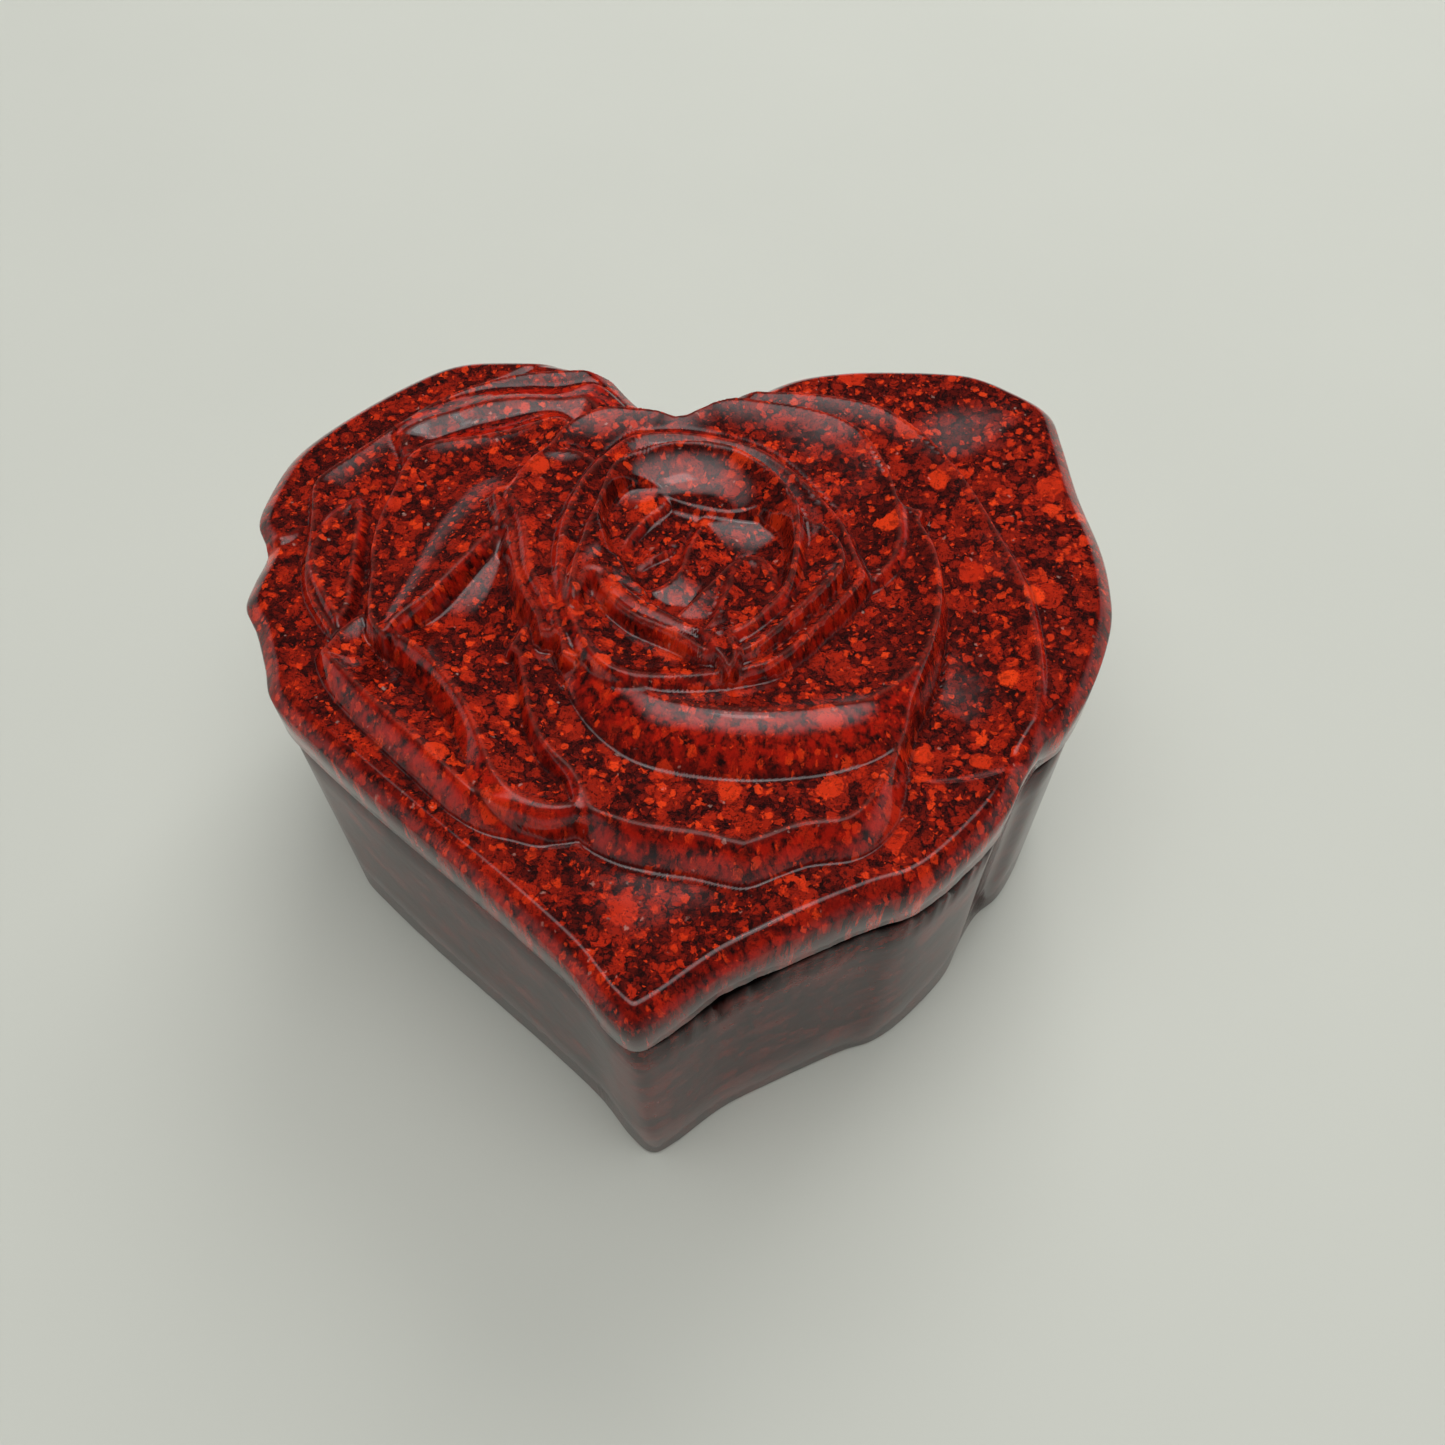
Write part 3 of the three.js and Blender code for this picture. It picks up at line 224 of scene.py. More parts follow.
def lacquer(name, stretch, painted_shade=0.0, gloss=1.0):
    """Round red flakes floating in black and maroon lacquer, under a thick clear coat.

    stretch below 1 draws the flakes out downwards, shade paints shade over them by darkening them towards
    black, and gloss weighs the coat."""
    s = Shader(name)
    spot = s.place((1, 1, stretch))
    for scale, detail, amount in ((0.55, 3.0, 1.5), (2.4, 2.0, 0.7)):
        wander = s.noise(spot, scale, detail, out="Color")
        centred = s.add("VectorMath", {0: wander, 1: (0.5, 0.5, 0.5)}, operation="SUBTRACT")
        shift = s.add("VectorMath", {0: centred, "Scale": amount}, operation="SCALE")
        spot = s.add("VectorMath", {0: spot, 1: shift}, operation="ADD")

    cloud = s.noise(spot, 0.16, 3.0)
    colour = s.blend(s.ramp(s.noise(spot, 1.3, 4.0, 0.65), 0.36, 0.62), BLACK, MAROON)

    def flakes(under, cell, size, share, low, high, soft, strength, crowd=0.0):
        """Lays one size of round flake over the colours so far."""
        cells = s.tree.nodes.new("ShaderNodeTexVoronoi")
        s.feed(cells.inputs["Vector"], spot)
        s.feed(cells.inputs["Scale"], 1 / cell)
        split = s.add("SeparateColor", {"Color": cells.outputs["Color"]}, out="Red").node.outputs
        radius = s.scaled(split["Green"], size * 0.55, size * 0.45)
        edge = s.maths("SUBTRACT", radius, cells.outputs["Distance"])
        disc = s.ramp(edge, -soft, soft)
        wanted = s.scaled(cloud, crowd, share - crowd * 0.5)
        there = s.maths("LESS_THAN", split["Red"], wanted)
        tone = s.blend(split["Blue"], low, high)
        weight = s.maths("MULTIPLY", s.maths("MULTIPLY", disc, there), strength)
        return s.blend(weight, under, tone)

    colour = flakes(colour, 1.0, 0.75, 0.75, MAROON, DARK_RED, 0.08, 0.9)
    colour = flakes(colour, 4.6, 0.62, 0.42, DARK_RED, RED, 0.03, 0.8, 1.0)
    colour = flakes(colour, 2.2, 0.64, 0.58, DARK_RED, RED, 0.06, 0.75, 1.3)
    grit = s.ramp(s.noise(spot, 2.2, 3.0, 0.7), 0.54, 0.60)
    colour = s.blend(s.maths("MULTIPLY", grit, 0.8), colour, BLACK)
    colour = flakes(colour, 1.3, 0.58, 0.26, RED, FLAME, 0.09, 0.75, 0.9)
    colour = flakes(colour, 4.4, 0.52, 0.16, RED, FLAME, 0.04, 0.85, 0.5)
    colour = flakes(colour, 0.65, 0.45, 0.14, RED, FLAME, 0.12, 0.75)
    specks = s.ramp(s.noise(spot, 3.8, 2.0, 0.6), 0.60, 0.66)
    colour = s.blend(s.maths("MULTIPLY", specks, 0.7), colour, BLACK)
    colour = flakes(colour, 2.1, 0.14, 0.35, (0.5, 0.2, 0.15, 1), (0.8, 0.5, 0.42, 1), 0.05, 0.4)

    blotch = s.ramp(s.noise(spot, 0.9, 6.0, 0.75), 0.52, 0.58)
    colour = s.blend(s.maths("MULTIPLY", blotch, 0.5), colour, BLACK)
    # painted shade: the colours darkened towards black, for walls that stand in shade
    colour = s.blend(painted_shade, colour, BLACK)
    smear = s.ramp(s.noise(s.place((1, 1, 1.6)), 0.11, 4.0, 0.6), 0.48, 0.70)
    colour = s.blend(s.maths("MULTIPLY", smear, painted_shade * 0.7), colour, (0.26, 0.035, 0.025, 1))

    wall = s.mark("wall")
    runs = s.noise(s.place((1, 1, 0.1)), 0.7, 3.0, 0.6)
    bright = s.maths("MULTIPLY", wall, s.ramp(runs, 0.38, 0.66))
    dull = s.maths("MULTIPLY", wall, s.ramp(runs, 0.42, 0.34))
    colour = s.blend(s.maths("MULTIPLY", bright, 0.6), colour, (0.66, 0.014, 0.004, 1))
    colour = s.blend(s.maths("MULTIPLY", dull, 0.6), colour, BLACK)

    crease_shade = s.mark("crease_shade")
    crest_highlight = s.mark("crest_highlight")
    # painted shade: near-black along each petal's foot, where the crease falls in shade
    colour = s.blend(s.maths("MULTIPLY", crease_shade, 0.6, clamp=True), colour, (0.03, 0.004, 0.004, 1))
    # painted highlight: a pale pink line along each crest
    colour = s.blend(s.maths("MULTIPLY", crest_highlight, 0.12, clamp=True), colour, (0.62, 0.16, 0.12, 1))
    chip = s.mark("chip")
    # painted shade: the seam's chips are cut in the shape, and their recess is painted near-black as shade
    colour = s.blend(chip, colour, (0.004, 0.003, 0.003, 1))
    # less coat in the seam's chips, and along the crests, where the painted highlight takes the place of the
    # gloss line
    chip_and_crest_uncoat = s.maths("MAXIMUM", chip, s.maths("MULTIPLY", crest_highlight, 0.8))
    clear = s.scaled(chip_and_crest_uncoat, -gloss, gloss)

    wave = s.noise(s.place(), 0.22, 2.0)
    normal = s.bump(wave, 0.00012, 0.5)
    return s.set(base=colour, roughness=0.6, specular=0.0, coat=clear, coat_roughness=0.09, coat_ior=1.46,
                 normal=normal, coat_normal=normal)


def velvet():
    """Short wine-red pile with a sheen, and lighter patches painted on as the sheen of pile that leans away.
    """
    s = Shader("velvet")
    spot = s.place()
    brushed = s.noise(spot, 0.09, 3.0, 0.6)
    pile_and_sheen = s.noise(spot, 7.0, 2.0, 0.7)
    tone = s.blend(s.ramp(brushed, 0.35, 0.65), (0.075, 0.006, 0.014, 1), (0.15, 0.012, 0.026, 1))
    # painted sheen: lighter patches of pile, at random
    tone = s.blend(s.ramp(pile_and_sheen, 0.3, 0.8), tone, (0.22, 0.03, 0.045, 1), "LIGHTEN")
    normal = s.bump(pile_and_sheen, 0.0004, 0.6, s.bump(brushed, 0.0015, 0.35))
    return s.set(base=tone, roughness=0.95, specular=0.1, sheen=0.8, sheen_roughness=0.4,
                 sheen_tint=(0.9, 0.35, 0.42, 1), normal=normal)


def brushed(name, tone, dark, grain, roughness=0.28, scratch=1.0):
    """Metal with fine lines along the short direction of grain, and faint stains."""
    s = Shader(name)
    lines = s.noise(s.place(grain), 1.0, 4.0, 0.6)
    stain = s.noise(s.place(), 0.12, 3.0, 0.6)
    base = s.blend(s.ramp(stain, 0.42, 0.72), tone, dark)
    rough = s.scaled(lines, 0.18, roughness - 0.09)
    normal = s.bump(lines, 0.00006, 0.5 * scratch)
    return s.set(base=base, metallic=1.0, roughness=rough, normal=normal)


def cast_zinc():
    """Satin die-cast metal with a fine grain."""
    s = Shader("cast_zinc")
    spot = s.place()
    grains = s.noise(spot, 2.2, 4.0, 0.65)
    base = s.blend(s.ramp(s.noise(spot, 0.3, 3.0), 0.4, 0.7), (0.46, 0.47, 0.48, 1), (0.33, 0.34, 0.35, 1))
    rough = s.add("MapRange", {"Value": grains, "To Min": 0.34, "To Max": 0.52})
    return s.set(base=base, metallic=1.0, roughness=rough, normal=s.bump(grains, 0.00012, 0.5))


def fibreboard():
    """Dark stained board with fibres along its width."""
    s = Shader("fibreboard")
    spot = s.place((1, 0.25, 1))
    fibre = s.noise(spot, 3.0, 5.0, 0.7)
    cloud = s.noise(s.place(), 0.15, 3.0)
    base = s.blend(s.ramp(fibre, 0.35, 0.7), (0.020, 0.014, 0.011, 1), (0.060, 0.042, 0.032, 1))
    base = s.blend(s.maths("MULTIPLY", s.ramp(cloud, 0.4, 0.7), 0.4), base, (0.035, 0.027, 0.022, 1))
    return s.set(base=base, roughness=0.7, specular=0.3, normal=s.bump(fibre, 0.00012, 0.5))


def clear_plastic():
    """Clear moulded acrylic with a faint haze."""
    s = Shader("clear_plastic")
    haze = s.noise(s.place(), 0.25, 3.0)
    rough = s.add("MapRange", {"Value": haze, "To Min": 0.01, "To Max": 0.07})
    tint = s.blend(haze, (0.93, 0.97, 0.97, 1), (0.97, 0.985, 0.98, 1))
    return s.set(base=tint, roughness=rough, transmission=1.0, ior=1.49, normal=s.bump(haze, 0.00005, 0.3))


def floor_paint():
    s = Shader("floor_paint")
    spot = s.place()
    tone = s.blend(s.noise(spot, 0.012, 3.0), (0.605, 0.62, 0.563, 1), (0.64, 0.655, 0.594, 1))
    normal = s.bump(s.noise(spot, 1.2, 4.0), 0.00004, 0.3)
    return s.set(base=tone, roughness=0.62, specular=0.3, normal=normal)


# ---------- the carved surface ----------
# [x, y] round the lid's edge, clockwise from the notch.
OUTLINE = [
    (-1.5, 42.5), (-5, 44), (-9, 47.6), (-13.5, 52.4), (-18, 55.6), (-24, 57.2), (-31, 57.6), (-38, 57),
    (-44, 54.3), (-52, 48.2), (-59, 41), (-63, 34.5), (-65, 26.5), (-65.2, 21), (-62.8, 15.6), (-63.7, 10),
    (-64, 5.5), (-61.5, 1), (-59, -5), (-57, -10.5), (-52, -15.5), (-42, -24), (-28.5, -34.7), (-20, -41.5),
    (-11.5, -48.8), (-6, -55), (-2, -57.6), (2, -55.7), (9.5, -49.7), (17.5, -45.3), (28.5, -39.8),
    (34.5, -37.5), (40, -33.3), (47, -25.5), (50.5, -18.5), (53.5, -13.7), (57.5, -10), (61.5, -3),
    (64.6, 6), (65.2, 13), (64.6, 21), (62.3, 31.5), (60.7, 42), (59, 48.5), (53, 52.8), (47, 56),
    (41, 57.2), (34, 57.6), (26, 57.2), (18, 55.4), (12, 52), (7.5, 48), (3, 44.6),
]

# The petals from the lowest to the highest. A petal's line runs along the foot of its edge:
# (x, y, crest height) or (x, y, crest height, width of the slope from foot to crest).
PETALS = [
    dict(  # the fold between the two outermost petals on the left
        rise=0.9, dish=0.5, reach=6,
        line=[(-72, 15, 64.9), (-63, 15.3, 64.9), (-59.6, 16.2, 64.6), (-57.4, 18.8, 64), (-56, 24, 63.4),
              (-52, 31, 63.4), (-44, 40, 63.4), (-36, 48, 63.8), (-28, 53, 64.2), (-20, 62, 64.4),
              (-72, 62, 64.6)]),
    dict(  # the second ring, over both lobes
        rise=1.3, dish=2.0, reach=6,
        line=[(49, -19.5, 63.4, 3), (51.4, -15.2, 64, 2), (53.4, -10, 64.6, 1.6), (54.2, -3, 65),
              (54, 4, 65.2),
              (53.2, 10, 65.4), (51.6, 15.5, 65.6), (49.2, 21.5, 65.8), (46.8, 27.5, 66), (44, 33.2, 66.2),
              (40.6, 38.4, 66.3), (36.6, 42.8, 66.4), (32, 46.2, 66.5), (26, 48, 66.6), (18, 49, 66.6),
              (10, 49.2, 66.6), (-2, 52, 67), (-14, 53, 66.4), (-21.5, 52.8, 66.2), (-27, 52.2, 66),
              (-33, 50.2, 66), (-38.5, 47.2, 66), (-43.5, 43.2, 66), (-48.5, 38.2, 66), (-53.4, 32.8, 66),
              (-56.8, 29, 66), (-57.8, 26, 66), (-57.2, 22, 66), (-56.6, 17, 66), (-56.3, 11, 65.8),
              (-54.8, 5.6, 65.6), (-52, 1.2, 65.4), (-49.3, -1.6, 65), (-44, -4, 64.6), (-30, -8, 64),
              (0, -14, 64), (34, -22, 63.2)]),
    dict(  # the crescent fold on the left lobe
        rise=4.6, dish=2.6, reach=7,
        line=[(-44.8, 33.5, 66.4, 1.4), (-46.2, 37.2, 66.6, 2), (-43.6, 41.2, 67, 3), (-38.4, 44.8, 67.4),
              (-33, 47.2, 67.6), (-27, 48.4, 67.6), (-21, 48.6, 67.4), (-14, 49, 67.2), (-8, 40, 67),
              (-14, 26, 66), (-30, 24, 66), (-41, 27, 66, 1.4)]),
    dict(  # the small crescent at the left edge
        rise=1.2, dish=1.6, reach=3,
        line=[(-55.4, 13.5, 66.4), (-54.4, 9, 66.6), (-52.4, 5, 66.6), (-50.4, 2, 66.4), (-48.4, -0.6, 66.2),
              (-46.6, 3, 66), (-46.8, 9, 66), (-47.2, 15, 66), (-47.6, 21, 66), (-50, 25, 65.6),
              (-54, 20, 66)]),
    dict(  # lower leaf of the left front
        rise=3.6, dish=2.2, reach=3.5,
        line=[(-50.6, -3.6, 66.4, 1.6), (-50.8, -6, 67, 2), (-48.8, -10, 67.4), (-45, -14.2, 67.6),
              (-40.4, -18.4, 67.7), (-36, -22.2, 67.7), (-32, -25.8, 67.7), (-28, -29.2, 67.6),
              (-24, -31.5, 67.4), (-20, -32.5, 67), (-14, -33, 66.6), (-8, -27, 66), (-20, -10, 66),
              (-30, 6, 66), (-44, 4, 66, 1.4)]),
    dict(  # upper leaf of the left front
        rise=3.2, dish=2.4, reach=4,
        line=[(-43.6, 1, 68, 1.4), (-42.4, -3.4, 68.6, 1.6), (-39.4, -6.2, 69), (-35.8, -9.4, 69.2),
              (-32.6, -13, 69.4), (-29.8, -17, 69.4), (-27.8, -21, 69.2), (-26.2, -24.4, 69),
              (-24.4, -27.4, 68.8), (-21.2, -30.4, 68.6), (-17, -32.2, 68.4), (-12, -32.6, 68.2),
              (-8, -30, 68), (-8, -20, 68), (-16, 0, 68.6), (-24, 18, 69), (-32, 12, 69)]),
    dict(  # broad petal of the left lobe
        rise=1.3, dish=2.0, reach=8,
        line=[(-40, 36, 67.2, 2), (-43.6, 31, 67.4), (-44.8, 25, 67.6), (-46, 19, 67.8), (-46.2, 13, 68),
              (-45.4, 8, 68.4), (-44.9, 3, 69), (-43.6, -1.6, 69.6), (-41.4, -4.8, 70), (-39.6, -5.2, 70.2),
              (-37.6, -2.6, 70.4, 1.8), (-33.4, 1.6, 70.6, 1.8), (-29.6, 7.2, 70.8, 1.8),
              (-26.6, 12.2, 70.8, 1.6),
              (-24, 16, 70.4), (-18, 22, 69.6), (-16, 36, 69), (-20, 42, 68.2, 3), (-30, 40, 67.4, 4)]),
    dict(  # front terrace
        rise=4.2, dish=1.4, reach=6,
        line=[(-22.4, -3, 69.4, 1.2), (-21.8, -7, 69.6, 1.2), (-20.8, -11, 69.6, 1.2),
              (-19.8, -15.5, 69.6, 1.3),
              (-18.2, -19.6, 69.4, 1.4), (-16, -22.8, 69.2, 1.6), (-13.4, -25.4, 68.8, 1.8),
              (-11.8, -28.4, 68.6, 2),
              (-11.2, -31.4, 68.4, 2.6), (-9, -33.6, 68.2), (-5, -35.4, 68.2), (0, -36.4, 68.2),
              (5, -37, 68.2),
              (9, -38, 68.4), (12, -38.4, 68.4), (15.6, -37, 68.4), (20, -35.2, 68.4), (25.6, -34.2, 68.4),
              (29, -32.2, 68.2), (31.6, -29, 68.2), (33.2, -25, 68), (33.6, -20, 68, 2), (35, -14, 68, 1.6),
              (36, -4, 68.6), (20, 20, 68.6), (-10, 20, 68.6)]),
    dict(  # big front petal, bulging
        rise=8, dish=2.0, reach=5, bulge=1.6,
        line=[(-25.6, 14, 70.6, 1.4), (-23.6, 8, 71, 1.6), (-21.2, 3, 71.4, 2), (-18.6, -1.6, 71.8, 2.4),
              (-16.4, -6, 72.2, 3.2), (-14.6, -10, 72.4, 4.6), (-12, -15, 72.6, 7), (-8.6, -19, 72.8, 9),
              (-4.6, -21.8, 72.6), (0.2, -23.3, 72.6), (6, -24.2, 72.6), (13, -24.4, 72.6), (20, -23.6, 72.4),
              (26, -22, 72.2), (30, -20.2, 72), (33, -17.6, 71.6, 7), (35, -13.8, 71.2, 5),
              (36.8, -9.8, 70.8, 3.2), (38.4, -5.6, 70.4, 2.6), (39.4, -1, 70.2, 2.2), (40.2, 4, 70, 2),
              (40.2, 9.8, 69.8, 1.8), (39.2, 15.4, 69.6, 1.6), (37.4, 19.8, 69.4, 1.6),
              (35.2, 23.6, 69.2, 1.6),
              (10, 30, 69.4), (-15, 25, 70)]),
    dict(  # back ring petal, reaching the notch
        rise=1.5, dish=2.0, reach=6,
        line=[(27.4, 6, 69.6), (31.2, 8.6, 69.6), (33.3, 11.6, 69.6), (34.4, 15.4, 69.8), (34.6, 19.4, 70),
              (34, 24, 70.4), (32.8, 28.6, 70.8), (30.8, 33, 71.2), (28.2, 36.8, 71.4), (24.4, 39.4, 71.6),
              (19.4, 40.9, 71.8), (14, 41.8, 71.9), (8.4, 42.4, 72), (4.6, 41.4, 72), (1.8, 39.6, 72),
              (-0.8, 38.2, 72), (-3.6, 39.2, 72), (-8.2, 39.9, 72), (-12, 39.8, 72), (-15.8, 38.4, 71.8),
              (-18.6, 36, 71.6), (-21, 32, 71.4), (-23.6, 27.8, 71.4), (-26.4, 23.6, 71.6),
              (-28.6, 21.6, 71.7),
              (-27.4, 17.4, 71.8), (-25.2, 13, 72), (-24.2, 8, 72.2), (-22.8, 3, 72.4), (-20, -1.6, 72.6),
              (-17, -6, 72.6), (-5, 0, 71), (12, 2, 70)]),
    dict(  # inner fold of the back ring, left
        rise=1.2, dish=1.4, reach=4,
        line=[(-22, 30, 71.4), (-25.2, 23, 72.4), (-26, 19.8, 72.8), (-23.6, 15, 73), (-22.4, 10, 73.2),
              (-21.4, 5.6, 73.3), (-19, 1.2, 73.4), (-17, -2.6, 73.4), (-15.6, -6, 73.2), (-14.4, -9.4, 72.8),
              (-8, -8, 72), (-2, 6, 72), (-8, 22, 72), (-14, 30, 71.4)]),
    dict(  # bowl round the bud
        rise=1.6, dish=2.2, reach=3,
        line=[(-17.6, 10, 74), (-17.2, 5, 74.1), (-15.8, -0.6, 74.2), (-13.6, -6, 74.1), (-11, -10, 74),
              (-8, -12.4, 73.9), (-4, -13.6, 73.8), (0.5, -13.8, 73.8), (6, -13.2, 73.7), (11, -12, 73.6),
              (15.4, -10.2, 73.4), (19.4, -6.6, 73.2), (23.4, -1.4, 72.8), (26.6, 3, 72.4), (28.6, 7, 72),
              (27.4, 12, 71.8), (24, 20, 71.8), (12, 32, 72), (-6, 34, 72.4), (-14, 26, 73.2),
              (-17, 17, 73.8)]),
    dict(  # outer petal of the bud, right and front
        rise=1.3, dish=2.0, reach=2.4,
        line=[(-12.6, 14, 74.6), (-12.4, 8, 74.8), (-11.4, 3.2, 75), (-8.8, -1.2, 75), (-5.6, -4, 75),
              (-2, -5.8, 75), (1.6, -7.6, 75), (4.6, -9.6, 75), (8.4, -10.2, 75), (12, -9, 75),
              (15.8, -5.6, 75),
              (19.6, -1.2, 75), (23.2, 3.2, 75), (25.4, 7.2, 75), (24.8, 11.4, 74.8), (22.6, 14.6, 74.6),
              (20, 16.4, 74.2), (14, 22, 74), (0, 26, 74.4)]),
    dict(  # the spur where the bud's petals cross at the front
        rise=1.0, dish=1.2, reach=2,
        line=[(1.4, -3.4, 75.2), (4.2, -6.2, 75.4), (6.4, -9.4, 75.4), (8.6, -12.6, 75), (10.4, -10, 75.2),
              (9.6, -6.4, 75.4), (7, -3, 75.2)]),
    dict(  # inner petal of the bud: the cup's rim
        rise=1.3, dish=0.3, reach=2,
        line=[(-14.6, 0, 75.4), (-14.8, 5.6, 75.8), (-13.8, 10.4, 76), (-12.6, 15.4, 76), (-11.6, 20, 76),
              (-10.6, 23.6, 76), (-8.2, 26.4, 76), (-4.8, 28.2, 76), (0, 29.2, 76), (4.6, 29.2, 76),
              (8.8, 28.2, 76), (12.8, 25.6, 76), (16.2, 22, 76), (18.4, 17.6, 76), (19, 12, 76),
              (18.6, 6, 75.8), (17.4, 1.4, 75.4), (13.8, -3.6, 75.2), (9.6, -6.8, 75.2), (6.4, -6.2, 75.2),
              (2.2, -6, 75.2), (-1.4, -4.4, 75.2), (-5.2, -2.4, 75.2), (-8.6, 0.6, 75.2), (-10.6, 3.6, 75.2),
              (-12.4, -1.6, 75)]),
]

# The cup of the bud: inside this line the surface drops behind the rim to the floor.
CUP = [(-10.9, 17.7), (-9.9, 22.2), (-8, 25), (-4.7, 26.8), (0, 27.8), (4.5, 27.8), (8.3, 26.8), (12, 24.4),
       (15.1, 21.2), (17.1, 16.4), (17.6, 11), (17.1, 5.4), (15.4, 1), (12, -2.6), (8.6, -5), (5, -4.6),
       (1.4, -3.6), (-2, -2), (-5, 0), (-7.8, 2.8), (-9.2, 6), (-9.9, 10), (-10.6, 14)]
CUP_FLOOR = 72.2
CUP_WALL = 7.5
CUP_BULGE = 1.6

# Folds furled inside the cup, the first of them the hollow they stand in.
BUD = [
    dict(
        rise=1.5, dish=0.6, reach=5,
        line=[(-9.4, 12, 70.8), (-9.6, 17, 71), (-8.4, 20.6, 71), (-5.6, 21.4, 71), (-2.4, 20.6, 71),
              (1.2, 19.2, 71), (5, 18.2, 71), (9, 17.7, 71), (13, 17.6, 71), (14.2, 13, 71),
              (14.4, 8, 71), (13.2, 3.4, 71), (9.6, -1.4, 71), (4, -2.4, 71), (-1, 0, 70.8), (-6, 5, 70.8)]),
    dict(  # left fold
        rise=1.0, dish=0.8, reach=3,
        line=[(-8.6, 8, 71.3), (-7.2, 9.6, 71.6), (-5.8, 12.4, 71.8), (-3.6, 15.8, 72), (-0.8, 19, 72.2),
              (-3, 22, 72.2), (-8, 22, 72), (-11, 16, 71.8)]),
    dict(  # broad furled petal
        rise=0.9, dish=1.6, reach=4,
        line=[(4.7, 17.4, 71.4), (2.8, 15.2, 71.6), (1.3, 11.4, 71.7), (0.4, 7.6, 71.7), (-1.6, 5, 71.6),
              (-3.8, 3.4, 71.4), (-2, -1, 71), (6, -5, 71), (14, 0, 71), (17, 8, 71), (15, 16, 71)]),
    dict(  # small curl on the left
        rise=0.6, dish=0.5, reach=1.6,
        line=[(-6.4, 5, 71.5), (-5, 7, 71.9), (-3, 8.8, 72), (-0.8, 10.4, 71.9), (0, 12, 71.6),
              (-2, 11, 71.3), (-4.4, 9.4, 71.2), (-6.2, 7.4, 71.2)]),
    dict(  # front folds
        rise=0.7, dish=1.0, reach=2.4,
        line=[(0.4, -1.8, 72), (2.6, 1.8, 72.2), (5.6, 5.8, 72.2), (8.2, 9.2, 72), (12, 11, 71.6),
              (15, 8, 71.6), (15, 2, 71.8), (10, -4, 72), (4, -5, 72)]),
    dict(
        rise=0.6, dish=0.8, reach=2,
        line=[(4.8, -4.4, 72.3), (6, -0.8, 72.5), (7.4, 3.6, 72.5), (8.6, 8.4, 72.2), (12, 10, 71.8),
              (15, 5, 72), (12, -3, 72.2)]),
]

# Swells and hollows of the big petals: (x, y, radius, height).
SWELLS = [(50, 51, 11, 1.2), (41, 36, 10, -1.8), (60, 12, 11, 0.6), (-38, 50, 9, -0.6), (3, -44, 10, -0.5),
          (-38, -32, 8, -0.4), (44, -20, 9, 0.6), (20, -40, 8, 0.5)]


def closed_line(points, steps):
    """A closed spline through the points; columns are x, y, height and slope width."""
    p = np.array(points, float)
    before, after, beyond = np.roll(p, 1, 0), np.roll(p, -1, 0), np.roll(p, -2, 0)
    t = (np.arange(steps) / steps)[:, None, None]
    curve = 0.5 * (2 * p + (after - before) * t + (2 * before - 5 * p + 4 * after - beyond) * t ** 2
                   + (3 * p - before - 3 * after + beyond) * t ** 3)
    return curve.transpose(1, 0, 2).reshape(-1, p.shape[1])


def probe(line, x, y, values=False):
    """Depth inside a closed line (negative outside), with the line's values blended from what is near."""
    nearest = np.full(x.shape, 1e9)
    inside = np.zeros(x.shape, bool)
    total = np.zeros(x.shape)
    sums = [np.zeros(x.shape) for _ in range(line.shape[1] - 2)] if values else []
    for a, b in zip(line, np.roll(line, -1, 0)):
        dx, dy = b[0] - a[0], b[1] - a[1]
        along = np.clip(((x - a[0]) * dx + (y - a[1]) * dy) / max(dx * dx + dy * dy, 1e-9), 0, 1)
        gap2 = (x - a[0] - along * dx) ** 2 + (y - a[1] - along * dy) ** 2
        nearest = np.minimum(nearest, gap2)
        if values:
            weight = math.hypot(dx, dy) / (gap2 + 1) ** 2
            total += weight
            for k, held in enumerate(sums):
                held += weight * (a[k + 2] + along * (b[k + 2] - a[k + 2]))
        if (a[1] > y.min() or b[1] > y.min()) and dy:
            crosses = (a[1] > y) != (b[1] > y)
            inside ^= crosses & (x < dx * (y - a[1]) / dy + a[0])
    depth = np.sqrt(nearest) * np.where(inside, 1, -1)
    return depth, [held / total for held in sums]


EDGE = closed_line(OUTLINE, 8)


def petal_line(petal):
    """A petal's outline; a point without a slope width of its own takes the petal's rise."""
    return closed_line([p if len(p) == 4 else (*p, petal["rise"]) for p in petal["line"]], 6)


def lay_petals(petals, x, y, z, marks):
    """Lays each petal over the surface so far, and marks its foot for painted shade, its crest for a painted
    highlight and the wall between them.
    """
    for petal in petals:
        depth, (crest, rise) = probe(petal_line(petal), x, y, values=True)
        top = crest - petal["dish"] * (1 - np.exp(-np.maximum(0, depth - rise) / petal["reach"]))
        part = np.clip(depth / rise, 0, 1)
        share = 1 - (1 - part) ** petal.get("bulge", FLANK_BULGE)
        step = np.clip((crest - z) / 1.2, 0, 1)
        laid = depth > 0
        z = np.where(laid, z + (top - z) * share, z)
        z = z - 0.10 * step * np.exp(-((depth + 0.1) / 0.35) ** 2)
        for name in marks:
            marks[name] = np.where(laid, marks[name] * (1 - share), marks[name])
        # painted shade along the petal's foot, in the crease
        marks["crease_shade"] = np.maximum(marks["crease_shade"], step * np.exp(-((depth + 0.05) / 0.3) ** 2))
        # painted highlight along the petal's crest
        marks["crest_highlight"] = np.maximum(marks["crest_highlight"], step * np.exp(-((depth - rise) / 0.28) ** 2))
        marks["wall"] = np.maximum(marks["wall"], step * (1 - np.abs(2 * part - 1) ** 3))
    return z


